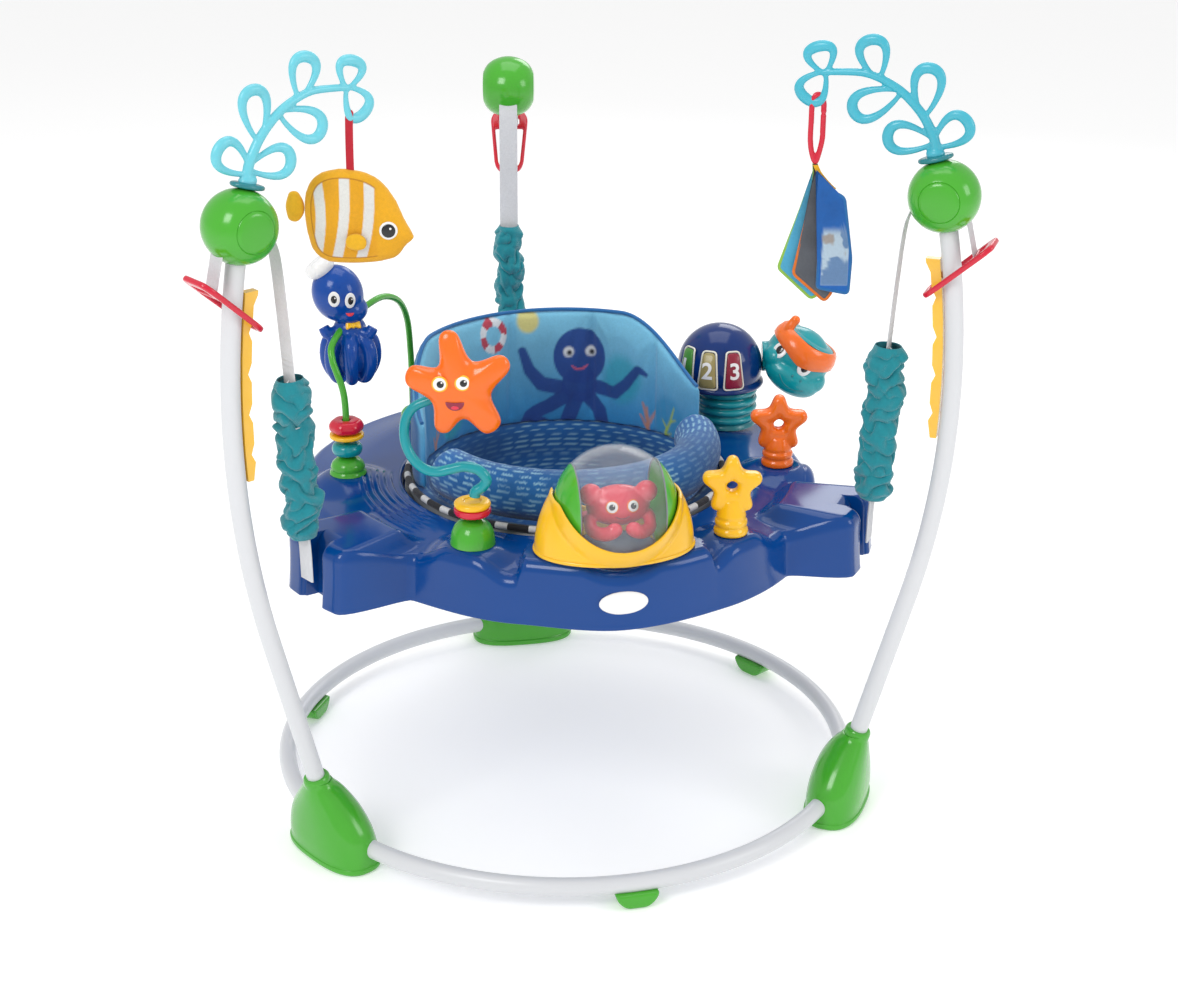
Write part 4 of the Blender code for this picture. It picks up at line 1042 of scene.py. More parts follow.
def make_tray():
    make_piece("play_tray", tray_mesh(), BLUE, "tray", None, ["tray"])
    wide, tall = 0.0285, 0.0140
    oval = [(wide * math.cos(a), tall * math.sin(a)) for a in np.linspace(0, math.tau, 49)[:-1]]
    badge = pillow_mesh("badge", oval, 0.0040, 4.0)
    azimuth = 271.5
    bend = points_of(badge)
    rim = float(plain_rim(azimuth))
    bend[:, 2] -= bend[:, 0] ** 2 / (2 * rim)
    set_points(badge, bend)
    stand = turned_to(azimuth) @ at((rim - 0.0034, 0, 0.3735)) @ turned_to(90) @ STANDING
    make_piece("front_badge", badge, WHITE, "tray", stand)
    for name in ("seat_track", "seat_ring"):
        node = frame["nodes"][name]
        node.data.materials.clear()
        node.data.materials.append(GREY)
        node.data.shade_smooth()


# ---------------------------------------------------------------- seat
SEAT_PLACE = at((0, 0, 0.390)) @ turned_to(SEAT_TURN)
SEAT_LOW = 0.018


def back_top(aside):
    """The seat back's height above the pivot, tallest behind the child and sloping to the sides."""
    return 0.100 + 0.070 * float(bump(abs(aside), 45.0, 90.0))


def seat_back_mesh():
    rows = []
    for aside in np.linspace(-89.0, 89.0, 90):
        top = back_top(aside)
        tuck = 0.0045 * float(bump(89.0 - abs(aside), 0.0, 7.0))
        azimuth = 90.0 + aside
        inner, outer = 0.1775 + tuck, 0.1925 - tuck
        row = [polar(inner, azimuth, z) for z in np.linspace(top - 0.006, SEAT_LOW, 12)]
        row += [polar(outer, azimuth, z) for z in np.linspace(SEAT_LOW, top - 0.006, 12)]
        middle, half = (inner + outer) / 2, (outer - inner) / 2
        row += [polar(middle + half * math.cos(a), azimuth,
                      top - 0.006 + 0.006 * math.sin(a)) for a in np.radians((30, 60, 90, 120, 150))]
        rows.append(row)
    return grid_mesh("seat_back", rows)


CHANNELS = (-62.0, -33.0, 2.0, 38.0, 64.0)      # sewn channels in the back, degrees aside from its middle


def held_back(spots):
    """The back's hem and sewn channels stay put while the padding swells."""
    aside = (np.degrees(np.arctan2(spots[:, 1], spots[:, 0])) - 90.0 + 180.0) % 360.0 - 180.0
    grip = bump(spots[:, 2] - SEAT_LOW, 0.004, 0.012)
    for channel in CHANNELS:
        grip = np.maximum(grip, bump(np.abs(aside - channel), 0.5, 1.6) * 0.9)
    return np.maximum(grip, bump(89.0 - np.abs(aside), 1.0, 4.0))


def watercolour(u, v):
    """A soft blotchy value, 0 to 1, over flat cloth."""
    return np.array([0.5 + 0.5 * noise.fractal(Vector((a * 9.0, b * 9.0, 0.7)), 0.9, 2.0, 4) for a,
                     b in zip(u, v)])


def disc(u, v, centre, radius, soft=0.0016):
    return bump(np.hypot(u - centre[0], v - centre[1]), radius - soft, radius + soft)


def stroke(u, v, line, widths, soft=0.0012):
    """A painted line: the share of paint at each point along a polyline of changing width."""
    paint = np.zeros_like(u)
    for (a, b), (wa, wb) in zip(zip(line, line[1:]), zip(widths, widths[1:])):
        ab = np.array(b) - np.array(a)
        share = np.clip(((u - a[0]) * ab[0] + (v - a[1]) * ab[1]) / max(1e-9, ab @ ab), 0, 1)
        gap = np.hypot(u - a[0] - ab[0] * share, v - a[1] - ab[1] * share)
        width = wa + (wb - wa) * share
        paint = np.maximum(paint, smooth_step((width + soft - gap) / (2 * soft)))
    return paint


def laid_over(colours, paint, colour, strength=1.0):
    paint = (paint * strength)[:, None]
    return colours * (1 - paint) + np.array(colour) * paint


def spiral(centre, size, start, turns, steps=14):
    line = []
    for i in range(steps + 1):
        share = i / steps
        angle = math.radians(start) + math.tau * turns * share
        reach = size * (1 - 0.85 * share)
        line.append((centre[0] + reach * math.cos(angle), centre[1] + reach * math.sin(angle)))
    return line


def ocean_print(u, v):
    """The back's print: pale sky over deepening water, a sun, a ring buoy, an octopus, weed and coral."""
    wash = watercolour(u, v)
    depth = smooth_step((0.545 - v) / 0.15)[:, None]
    sky, shallow, deep = (np.array(c) for c in ((0.20, 0.55, 0.78), (0.025, 0.30, 0.66), (0.004, 0.12, 0.40)))
    colours = sky * (1 - depth) + shallow * depth
    low = smooth_step((0.450 - v) / 0.10)[:, None]
    colours = colours * (1 - 0.6 * low) + deep * 0.6 * low
    colours = colours * (0.86 + 0.28 * wash[:, None])
    for centre, size, colour in (((0.150, 0.475), 0.045, (0.02, 0.40, 0.55)),
                                 ((-0.110, 0.440), 0.036, (0.02, 0.42, 0.50)),
                                 ((0.225, 0.430), 0.040, (0.02, 0.30, 0.60)),
                                 ((-0.180, 0.470), 0.040, (0.03, 0.28, 0.62))):
        blot = bump(np.hypot((u - centre[0]) * 1.2, v - centre[1]) + 0.018 * (wash - 0.5), size * 0.55, size)
        colours = laid_over(colours, blot, colour, 0.75)
    colours = laid_over(colours, disc(u, v, (0.018, 0.549), 0.0150, 0.0030), (0.80, 0.68, 0.16), 0.85)
    ring = np.hypot(u + 0.034, (v - 0.536) * 0.95)
    hoop = bump(np.abs(ring - 0.0170), 0.0042, 0.0056)
    stripe = (np.sin(np.arctan2(v - 0.536, u + 0.034) * 4.0) > 0).astype(float)
    colours = laid_over(colours, hoop * stripe, (0.55, 0.03, 0.06), 0.95)
    colours = laid_over(colours, hoop * (1 - stripe), (0.80, 0.82, 0.86), 0.95)

    across, height = 0.082 + (u - 0.089) / 1.25, 0.500 + (v - 0.500) / 1.25
    ink = (0.012, 0.060, 0.300)
    arms = (
        ([(0.058, 0.466), (0.040, 0.470), (0.026, 0.486), (0.018, 0.508)], (0.0085, 0.0080, 0.0065, 0.0045)),
        ([(0.066, 0.455), (0.048, 0.444), (0.034, 0.438)] + spiral((0.036, 0.424), 0.0140, 100, 1.25), None),
        ([(0.078, 0.452), (0.070, 0.430), (0.066, 0.416)] + spiral((0.078, 0.402), 0.0150, 160, 1.3), None),
        ([(0.092, 0.455), (0.104, 0.440), (0.108, 0.422), (0.104, 0.404), (0.112, 0.388)],
         (0.0080, 0.0080, 0.0070, 0.0055, 0.0035)),
        ([(0.104, 0.466), (0.122, 0.462), (0.136, 0.474), (0.150, 0.492), (0.160, 0.488)],
         (0.0080, 0.0070, 0.0060, 0.0045, 0.0025)),
    )
    for line, widths in arms:
        if widths is None:
            widths = np.linspace(0.0085, 0.0026, len(line))
        colours = laid_over(colours, stroke(across, height, line, widths), ink, 0.96)
    head = bump(np.hypot((across - 0.082) / 1.02, (height - 0.500) / 1.08), 0.0275, 0.0295)
    colours = laid_over(colours, head, ink, 0.97)
    colours = laid_over(colours, disc(across, height, (0.082, 0.468), 0.0200), ink, 0.97)
    for eye in (0.070, 0.094):
        colours = laid_over(colours, disc(across, height, (eye, 0.505), 0.0058), (0.82, 0.84, 0.86))
        colours = laid_over(colours, disc(across, height, (eye + 0.001, 0.504), 0.0028), (0.01, 0.01, 0.02))
    smile = [(0.074, 0.489), (0.079, 0.4855), (0.085, 0.4855), (0.090, 0.489)]
    colours = laid_over(colours, stroke(across, height, smile, (0.0008, 0.0012, 0.0012, 0.0008), 0.0008),
                        (0.72, 0.12, 0.20))

    weed, coral = (0.46, 0.62, 0.08), (0.62, 0.26, 0.16)
    colours = laid_over(colours,
                        stroke(u, v, [(0.214, 0.395), (0.222, 0.415), (0.232, 0.432), (0.240, 0.452)],
                               (0.0022, 0.0024, 0.0020, 0.0010)), weed, 0.9)
    for base, tip in (((0.220, 0.408), (0.232, 0.414)), ((0.224, 0.418), (0.216, 0.430)),
                      ((0.231, 0.430), (0.243, 0.436))):
        colours = laid_over(colours, stroke(u, v, [base, tip], (0.0020, 0.0008)), weed, 0.9)
    for base, tip in (((0.190, 0.395), (0.188, 0.440)), ((0.189, 0.410), (0.178, 0.428)),
                      ((0.189, 0.415), (0.200, 0.436)),
                      ((0.188, 0.425), (0.182, 0.446)), ((-0.150, 0.400), (-0.152, 0.440)),
                      ((-0.151, 0.412), (-0.162, 0.430)),
                      ((-0.151, 0.418), (-0.140, 0.434))):
        colours = laid_over(colours, stroke(u, v, [base, tip], (0.0032, 0.0016)), coral, 0.75)
    return colours


def wave_print(u, v, low):
    """The roll's print: mid-blue water with short pale dashes, darker where low is high: painted shade on the
    roll's underside, an even darkening on the bucket.
    """
    wash = watercolour(u, v)
    colours = np.array((0.004, 0.120, 0.380)) * (0.70 + 0.5 * wash[:, None])
    row = np.floor(v / 0.0072)
    drift = (row * 0.37) % 1.0 + 0.3 * np.sin(row * 1.7)
    share = (u / 0.021 + drift) % 1.0
    inside = smooth_step((0.5 - np.abs(share - 0.5)) / 0.06 - 2.6) * bump(np.abs(v / 0.0072 - row - 0.5),
        0.08, 0.22)
    fade = 0.25 + 0.75 * smooth_step((wash - 0.35) / 0.25)
    colours = laid_over(colours, inside * fade, (0.36, 0.66, 0.80), 0.85)
    # painted shade: low pulls the print towards deep navy
    return laid_over(colours, low, (0.010, 0.055, 0.200), 0.85)


def print_cloth(mesh, colour_of):
    """Paints the cloth from where each point lies, and stores that place for the weave."""
    spots = points_of(mesh)
    u, v, colours = colour_of(spots)
    set_laid(mesh, np.stack([u, v], -1))
    set_print(mesh, colours)


BACK_RADIUS = 0.182        # the face of the seat back that carries the picture
BACK_MIDDLE = 0.1875       # outside this radius the back is plain blue


def back_colours(spots):
    """The unrolled cloth: u runs to the viewer's right from straight behind, v is world height."""
    aside = 90.0 - np.degrees(np.arctan2(spots[:, 1], spots[:, 0]))
    u = np.radians((aside + 180.0) % 360.0 - 180.0) * BACK_RADIUS
    v = spots[:, 2] + SEAT_PLACE.translation.z
    colours = ocean_print(u, v)
    outside = smooth_step((np.hypot(spots[:, 0], spots[:, 1]) - BACK_MIDDLE) / 0.003)
    return u, v, laid_over(colours, outside, (0.012, 0.110, 0.340), 0.92)


ROLL_RADIUS, ROLL_TUBE = 0.1665, 0.0300
ROLL_HEIGHT = 0.0500


def roll_mesh():
    rows = []
    for aside in np.linspace(-86.0, 86.0, 80):
        end = float(bump(86.0 - abs(aside), 0.0, 9.0))
        size = ROLL_TUBE * (1 - 0.55 * end ** 2)
        azimuth = 270.0 + aside
        centre = polar(ROLL_RADIUS, azimuth, ROLL_HEIGHT - 0.004 * end)
        outward = polar(1.0, azimuth, 0)
        rows.append([
            centre + outward * size * 0.93 * math.cos(a) + Vector((0, 0, size * 1.06 * math.sin(a)))
            for a in np.linspace(0, math.tau, 33)[:-1]
        ])
    return grid_mesh("roll", rows)


def roll_colours(spots):
    azimuth = np.arctan2(spots[:, 1], spots[:, 0])
    aside = (np.degrees(azimuth) - 270.0 + 180.0) % 360.0 - 180.0
    around = np.arctan2(spots[:, 2] - ROLL_HEIGHT, np.hypot(spots[:, 0], spots[:, 1]) - ROLL_RADIUS)
    u, v = np.radians(aside) * ROLL_RADIUS, around * ROLL_TUBE
    # painted shade: the roll's underside, below the tube's middle, is made darker
    low = smooth_step((-0.35 - np.sin(around)) / 0.35)
    return u, v, wave_print(u, v, low)


def held_roll(spots):
    """The roll is sewn down along its lowest line."""
    around = np.arctan2(spots[:, 2] - ROLL_HEIGHT, np.hypot(spots[:, 0], spots[:, 1]) - ROLL_RADIUS)
    return bump(np.abs(around + math.pi / 2), 0.25, 0.55)


BUCKET = (
    (0.1915, 0.0165), (0.1800, 0.0165), (0.1725, 0.0100), (0.1700, -0.0050), (0.1695, -0.0250),
    (0.1670, -0.0420),
    (0.1600, -0.0630), (0.1480, -0.0800), (0.1280, -0.0930), (0.1000, -0.1000), (0.0600, -0.1035),
    (0.0, -0.1045),
)


def bucket_radius(height):
    """The bucket's radius at a height, on its outer side."""
    for (high_r, high), (low_r, low) in zip(BUCKET[2:], BUCKET[3:]):
        if high >= height >= low:
            return low_r + (high_r - low_r) * (height - low) / (high - low)
    return 0.0


def leg_aim(side):
    return Vector((side * 0.75, -0.45, -0.60)).normalized()


def leg_edge(side, radius, count=64):
    """The leg hole's edge: where a round bar of that radius passes through the bucket's wall."""
    aim = leg_aim(side)
    across = aim.cross(Vector((0, 0, 1))).normalized()
    upward = across.cross(aim)
    start = Vector((side * 0.085, -0.060, -0.060))
    edge = []
    for i in range(count):
        angle = math.tau * i / count
        spot = start + (across * math.cos(angle) + upward * math.sin(angle)) * radius
        low, high = 0.0, 0.12
        for _ in range(24):
            middle = (low + high) / 2
            point = spot + aim * middle
            if point.z > -0.1045 and math.hypot(point.x, point.y) < bucket_radius(point.z):
                low = middle
            else:
                high = middle
        edge.append(spot + aim * low)
    return edge


def make_bucket():
    """The hanging seat: a cloth bowl with two bound leg holes."""
    skin = lathe_mesh("bucket", smooth_line(BUCKET, 4), 96, sharp=180.0)
    shape = bmesh.new()
    shape.from_mesh(skin)
    for side in (-1, 1):
        aim, start = leg_aim(side), Vector((side * 0.085, -0.060, -0.060))
        gone = []
        for vert in shape.verts:
            off = vert.co - start
            run = off.dot(aim)
            if run > 0 and (off - aim * run).length < 0.0485:
                gone.append(vert)
        bmesh.ops.delete(shape, geom=gone, context="VERTS")
    shape.to_mesh(skin)
    shape.free()
    mesh = evaluated("bucket", skin, ("SOLIDIFY", {"thickness": 0.0030, "offset": -1.0}),
                     ("SUBSURF", {"levels": 1, "render_levels": 1}))
    mesh.shade_smooth()

    def colours(spots):
        azimuth = np.arctan2(spots[:, 1], spots[:, 0])
        u, v = azimuth * 0.16, spots[:, 2] + np.hypot(spots[:, 0], spots[:, 1]) * 0.6
        return u, v, wave_print(u, v, np.full(len(spots), 0.35))

    print_cloth(mesh, colours)
    bucket = make_piece("seat_bucket", mesh, PRINTED_CLOTH, "seat", SEAT_PLACE, ["seat_sling"])
    for side, word in ((-1, "left"), (1, "right")):
        edge = leg_edge(side, 0.0475)
        binding = sweep_mesh("binding", edge, 0.0042, 12, closed=True)
        make_piece("leg_binding_" + word, binding, NAVY_CLOTH, "seat", SEAT_PLACE)


def make_piping():
    """The black and white rope edge sewn round the seat's rim."""
    radius, size, count = 0.1985, 0.0042, 240
    line = [polar(radius, 360.0 * i / count, 0.0190) for i in range(count)]
    mesh = sweep_mesh("piping", line, size, 14, closed=True, lie=(0, 0, 1), oval=1.0)
    piece = make_piece("seat_piping", mesh, BLACK_CLOTH, "seat", SEAT_PLACE)
    piece.data.materials.append(WHITE_CLOTH)
    centre = HOME.translation
    for face in piece.data.polygons:
        azimuth = math.degrees(math.atan2(face.center.y - centre.y, face.center.x - centre.x))
        face.material_index = 1 if (azimuth % 12.0) > 7.5 else 0


def make_seat():
    back = puffed("seat_back", seat_back_mesh(), 0.0045, 0.0060, held_back)
    spots = points_of(back)
    radius = np.hypot(spots[:, 0], spots[:, 1])
    azimuth = np.degrees(np.arctan2(spots[:, 1], spots[:, 0]))
    pull = sum(bump(np.abs(azimuth - 90.0 - channel), 0.2, 2.6) for channel in CHANNELS)
    inner = radius < 0.186
    move = np.where(inner, 0.0030 * pull, -0.0022 * pull) * smooth_step((spots[:, 2] - SEAT_LOW) / 0.02)
    spots[:, :2] *= ((radius + move) / radius)[:, None]
    set_points(back, spots)
    print_cloth(back, back_colours)
    piece = make_piece("padded_seat_back", back, PRINTED_CLOTH, "seat", SEAT_PLACE,
                       ["seat_back"])

    edge = []
    for aside in np.linspace(-87.0, 87.0, 120):
        edge.append(polar(0.1850, 90.0 + aside, back_top(aside) + 0.0010))
    make_piece("back_piping", sweep_mesh("piping", edge, 0.0024, 10), BLUE_CLOTH, "seat", SEAT_PLACE)

    roll = puffed("roll", roll_mesh(), 0.0050, 0.0060, held_roll)
    print_cloth(roll, roll_colours)
    piece = make_piece("padded_front_roll", roll, PRINTED_CLOTH, "seat", SEAT_PLACE,
                       ["seat_bolster"])
    make_bucket()
    make_piping()


# ---------------------------------------------------------------- helpers for the toys
def make_painted(name, parts, body, place=None, stands_for=()):
    """One piece of several mouldings, each with its own material."""
    shape = bmesh.new()
    owners = []
    for number, (mesh, _paint) in enumerate(parts):
        known = len(shape.faces)
        shape.from_mesh(mesh)
        owners += [number] * (len(shape.faces) - known)
    mesh = bpy.data.meshes.new(name)
    shape.to_mesh(mesh)
    shape.free()
    mesh.shade_smooth()
    mesh.set_sharp_from_angle(angle=math.radians(50))
    piece = make_piece(name, mesh, parts[0][1], body, place, stands_for)
    for _mesh, paint in parts[1:]:
        piece.data.materials.append(paint)
    piece.data.polygons.foreach_set("material_index", owners)
    return piece


def carved(name, mesh, *cutters):
    """The mesh with other meshes taken away from it."""
    changes = []
    tools = []
    for cutter in cutters:
        tool = bpy.data.objects.new("tool", cutter)
        SCENE.collection.objects.link(tool)
        tools.append(tool)
        changes.append(("BOOLEAN", {"operation": "DIFFERENCE", "solver": "EXACT", "object": tool}))
    made = evaluated(name, mesh, *changes)
    for tool in tools:
        bpy.data.objects.remove(tool)
    return made


def on_surface(mesh, start, aim, lift=0.0):
    """Where a ray from start along aim meets the mesh, as a place whose Z stands out of the surface."""
    tree = BVHTree.FromPolygons([vert.co for vert in mesh.vertices],
                                [face.vertices for face in mesh.polygons])
    spot, normal, _face, _run = tree.ray_cast(Vector(start), Vector(aim).normalized())
    upward = Vector((0, 0, 1))
    across = upward.cross(normal).normalized()
    turn = Matrix((across, normal.cross(across), normal)).transposed().to_4x4()
    return at(spot + normal * lift) @ turn


def dish(radius, depth, place, oval=1.0):
    """A thin round button, fuller in the middle."""
    outline = [(x, y * oval) for x, y in circle(radius, 28)]
    return pillow_mesh("dish", outline, depth, 2.2, 6, place)


def eye_parts(mesh, start, aim, size, oval=1.0, look=(0.0, 0.0), rim=None, pupil=0.56):
    """A plain eye stuck on a toy: a white disc, a dark pupil and a small white dot that is a painted glint.
    """
    place = on_surface(mesh, start, aim)
    parts = [
        (dish(size, 0.0030, place, oval), WHITE),
        (dish(size * pupil, 0.0030, place @ at((look[0], look[1], 0.0007)), oval), BLACK),
        # painted highlight: a small white dot on the pupil stands for a glint
        (dish(size * 0.16, 0.0030, place @ at((look[0] + size * 0.2, look[1] + size * 0.25, 0.0011))), WHITE),
    ]
    if rim is not None:
        parts.insert(0, (dish(size * 1.16, 0.0024, place @ at((0, 0, -0.0002)), oval), rim))
    return parts


def smile_parts(mesh, start, aim, width, height, paint=MAROON):
    """An open smiling mouth with a tongue."""
    place = on_surface(mesh, start, aim)
    lip = [(width / 2 * math.cos(a), height * 0.35 * math.sin(a)) for a in np.linspace(0, -math.pi, 9)[::-1]]
    lower = [(width / 2 * math.cos(a), -height * math.sin(a)) for a in np.linspace(0, math.pi, 13)]
    outline = lower + [(x, y) for x, y in lip[1:-1]][::-1]
    mouth = pillow_mesh("mouth", outline, 0.0022, 2.5, 6, place)
    tongue = dish(width * 0.22, 0.0022, place @ at((0.0, -height * 0.62, 0.0004)), 0.55)
    return [(mouth, paint), (tongue, PINK_RED)]


def puffy_outline(points, valley, blunt=0.16, per_span=5):
    """A closed smooth star through tips given as (degrees, reach), with valleys between them."""
    stops = []
    count = len(points)
    for i, (turn, reach) in enumerate(points):
        following = points[(i + 1) % count][0] + (360.0 if i == count - 1 else 0.0)
        for side in (-blunt, blunt):
            spread = math.radians(turn + side * (following - turn))
            stops.append((reach * math.cos(spread), reach * math.sin(spread)))
        middle = math.radians((turn + following) / 2)
        stops.append((valley * math.cos(middle), valley * math.sin(middle)))
    return [tuple(point) for point in smooth_line(stops, per_span, closed=True)]


def holed_star(name, outline, hole, depth):
    """A plump star with a round hole through its middle."""
    rows = []
    for x, y in outline:
        reach, turn = math.hypot(x, y), math.atan2(y, x)
        middle, half = (reach + hole) / 2, (reach - hole) / 2
        row = []
        for angle in np.linspace(0, math.tau, 29)[:-1]:
            run = middle + half * math.copysign(abs(math.cos(angle)) ** 0.75, math.cos(angle))
            rise = depth / 2 * math.copysign(abs(math.sin(angle)) ** 0.60, math.sin(angle))
            row.append((run * math.cos(turn), run * math.sin(turn), rise))
        rows.append(row)
    return grid_mesh(name, rows, through=True, sharp=80.0)


# ---------------------------------------------------------------- hanging arms and toys
STEM = (
    (0.4408, 0.8400), (0.4395, 0.8550), (0.4354, 0.8685), (0.4222, 0.8904), (0.4011, 0.9113),
    (0.3803, 0.9238),
    (0.3557, 0.9316), (0.3271, 0.9313), (0.3060, 0.9292),
)
LEAVES = (
    ((0.4370, 0.8560), (0.4775, 0.8917)), ((0.4230, 0.8880), (0.4282, 0.9494)),
    ((0.3700, 0.9265), (0.3574, 0.9758)),
    ((0.3090, 0.9290), (0.2986, 0.9646)), ((0.4375, 0.8610), (0.3777, 0.8633)),
    ((0.3960, 0.9140), (0.3376, 0.8852)),
    ((0.3090, 0.9290), (0.2846, 0.8930)),
)
LEAF_WIDTH = 0.0480


def leaf_mesh(foot, tip):
    """An open teardrop ring, thicker round its far end."""
    foot, tip = Vector(foot), Vector(tip)
    along = tip - foot
    length = along.length
    along.normalize()
    across = Vector((-along.y, along.x))
    line, radii = [], []
    count = 34
    for i in range(count):
        angle = math.tau * i / count
        far = (1 - math.cos(angle)) / 2
        fullness = math.sin(angle) * (0.42 + 0.58 * far)
        thick = 0.0024 + 0.0029 * far ** 1.5
        reach = 0.001 + (length - 0.001 - thick * 1.3) * far
        spot = foot + along * reach + across * (LEAF_WIDTH / 2 - 0.004) * fullness
        line.append((spot.x, 0.0, spot.y))
        radii.append(thick)
    return sweep_mesh("leaf", line, radii, 14, closed=True, oval=1.25, lie=(0, 1, 0))


def make_seaweed(side, paint):
    """An arm like a sprig of weed that bends over towards the child."""
    stem_line = [(radius, 0.0, height) for radius, height in smooth_line(STEM, 5)]
    thick = [0.0062 - 0.0026 * i / (len(stem_line) - 1) for i in range(len(stem_line))]
    parts = [sweep_mesh("stem", stem_line, thick, 16, oval=1.05, lie=(0, 1, 0))]
    parts += [leaf_mesh(foot, tip) for foot, tip in LEAVES]
    parts.append(ellipsoid_mesh("root", (0.0110, 0.0085, 0.0080), at((0.4400, 0, 0.8470)), 24, 14))
    place = head_place(side)
    make_piece(
        "weed_arm_" + side, fused("weed", parts, 0.0011, 5), paint, "frame", place,
        ["seaweed_" + side],
    )
    plate = pillow_mesh("socket", [(x, y * 0.72) for x, y in circle(0.0205, 40)], 0.0070, 3.4, 8)
    lean = Matrix.Rotation(math.radians(-16), 4, "Y")
    make_piece("arm_socket_" + side, plate, DARK_TEAL, "frame", place @ at((0.4405, 0, 0.8424)) @ lean)


FISH_OUTLINE = (
    (-0.0400, 0.0445), (-0.0200, 0.0530), (0.0080, 0.0520), (0.0310, 0.0420), (0.0480, 0.0210),
    (0.0590, -0.0040),
    (0.0690, -0.0240), (0.0600, -0.0310), (0.0500, -0.0450), (0.0300, -0.0510), (0.0000, -0.0535),
    (-0.0290, -0.0510),
    (-0.0440, -0.0390), (-0.0500, -0.0190), (-0.0525, 0.0070), (-0.0495, 0.0290),
)
FISH_STRIPES = (((-0.0360, 0.0400), (-0.0385, -0.0400)), ((-0.0060, 0.0440), (-0.0175, -0.0480)),
                ((0.0210, 0.0360), (0.0080, -0.0520)))
FISH_CENTRE = Vector((0.0, 0.0, -0.112))


def fish_colours(spots):
    """Yellow cloth with three pale stripes and a stitched line inside its edge."""
    u, v = spots[:, 0], spots[:, 2] - FISH_CENTRE.z
    wash = watercolour(u, v)
    colours = np.array((0.900, 0.440, 0.008)) * (0.86 + 0.28 * wash[:, None])
    outline = np.array([tuple(point) for point in smooth_line(FISH_OUTLINE, 4, closed=True)])
    edge = np.full(len(u), 1.0)
    for a, b in zip(outline, np.roll(outline, -1, 0)):
        ab = b - a
        share = np.clip(((u - a[0]) * ab[0] + (v - a[1]) * ab[1]) / (ab @ ab), 0, 1)
        edge = np.minimum(edge, np.hypot(u - a[0] - ab[0] * share, v - a[1] - ab[1] * share))
    inside = bump(-edge, -0.0100, -0.0078)
    head = smooth_step((u - 0.026) / 0.004)
    panel = inside * (1 - head)
    colours = laid_over(colours, panel, (0.800, 0.360, 0.006), 0.6)
    for (ax, az), (bx, bz) in FISH_STRIPES:
        share = np.clip((az - v) / (az - bz), 0, 1)
        middle = ax + (bx - ax) * share + 0.004 * np.sin(share * math.pi)
        band = bump(np.abs(u - middle), 0.0052, 0.0062) * inside
        colours = laid_over(colours, band, (0.800, 0.800, 0.780), 0.97)
    seam = bump(np.abs(edge - 0.0085), 0.0003, 0.0010)
    return u, v, laid_over(colours, seam * (1 - head), (0.380, 0.130, 0.004), 0.7)


def make_fish():
    """A stuffed cloth fish that hangs on a ribbon."""
    place = at(joint_place("fish_swing")) @ FACING
    outline = [tuple(point) for point in smooth_line(FISH_OUTLINE, 4, closed=True)]
    flat = pillow_mesh("fish", outline, 0.0250, 3.0, 12, at(FISH_CENTRE) @ STANDING)

    def held(spots):
        return bump(np.abs(spots[:, 1]), 0.0020, 0.0050) * 0.8

    body = puffed("fish", flat, 0.0045, 0.0060, held, 3.0)
    spots = points_of(body)
    side = np.where(spots[:, 1] < 0, 1.0, -1.0)
    _u, _v, colours = fish_colours(spots)
    seam = np.clip((0.75 - colours[:, 0]) * 2.0, 0, 1) * (colours[:, 2] < 0.2)
    spots[:, 1] += side * seam * 0.0010
    set_points(body, spots)
    body = subdivided("fish", body)
    print_cloth(body, fish_colours)
    make_piece("stuffed_fish", body, PRINTED_CLOTH, "fish", place, ["fish"])

    tail_line = rounded([(-0.0520, 0.0030), (-0.0600, -0.0070), (-0.0700, -0.0050), (-0.0735, 0.0120),
                         (-0.0680, 0.0280),
                         (-0.0590, 0.0285), (-0.0520, 0.0160)], 0.007, 5)
    tail = pillow_mesh("tail", [(x + 0.0620, y - 0.0110) for x, y in tail_line], 0.0120, 2.6, 8)
    fin_line = rounded([(-0.0110, 0.0060), (0.0020, 0.0100), (0.0120, 0.0030), (0.0110, -0.0080),
                        (-0.0010, -0.0110),
                        (-0.0120, -0.0060)], 0.008, 5)
    for name, mesh, centre in (
        ("fish_tail", tail, (-0.0620, 0.0, 0.0110)),
        ("fish_fin_front", pillow_mesh("fin", fin_line, 0.0070, 2.6, 7), (0.0055, -0.0170, -0.0240)),
        ("fish_fin_back", pillow_mesh("fin", fin_line, 0.0070, 2.6, 7), (0.0055, 0.0170, -0.0240)),
    ):
        set_laid(mesh, points_of(mesh)[:, :2])
        spot = at(FISH_CENTRE + Vector(centre)) @ STANDING
        make_piece(name, mesh, YELLOW_CLOTH, "fish", place @ spot)
    eyes = []
    for toward in (-1, 1):
        start = FISH_CENTRE + Vector((0.0410, toward * 0.06, -0.0130))
        eyes += eye_parts(body_in_place(body, place), start, (0, -toward, 0), 0.0102, pupil=0.78)
    make_painted("fish_eyes", eyes, "fish", place)
    line = [(0.0, 0.0062), (0.0016, 0.0030), (0.0008, -0.0040), (0.0002, -0.0300), (0.0, -0.0620)]
    ribbon = flat_band("ribbon", line, 0.0085, 0.0016)
    make_piece("fish_ribbon", ribbon, RED_RIBBON, "fish", place)


def body_in_place(mesh, place):
    """A copy of a placed mesh, back in its toy's own coordinates."""
    copy = mesh.copy()
    copy.transform((HOME @ place).inverted())
    return copy


def flat_band(name, line, width, thickness):
    """A flat ribbon in the XZ plane that follows a line of (x, height), as wide in X as the ribbon is."""
    spots = [np.array(point) for point in smooth_line(line, 5)]
    rows, laid, run = [], [], 0.0
    for i, spot in enumerate(spots):
        if i:
            run += float(np.linalg.norm(spot - spots[i - 1]))
        row = []
        for share in np.linspace(-1, 1, 9):
            row.append((spot[0] + share * width / 2, -thickness / 2, spot[1]))
        for share in np.linspace(1, -1, 9):
            row.append((spot[0] + share * width / 2, thickness / 2, spot[1]))
        rows.append(row)
        laid.append([(run, x) for x, _y, _z in row])
    return grid_mesh(name, rows, laid=laid, sharp=60.0)


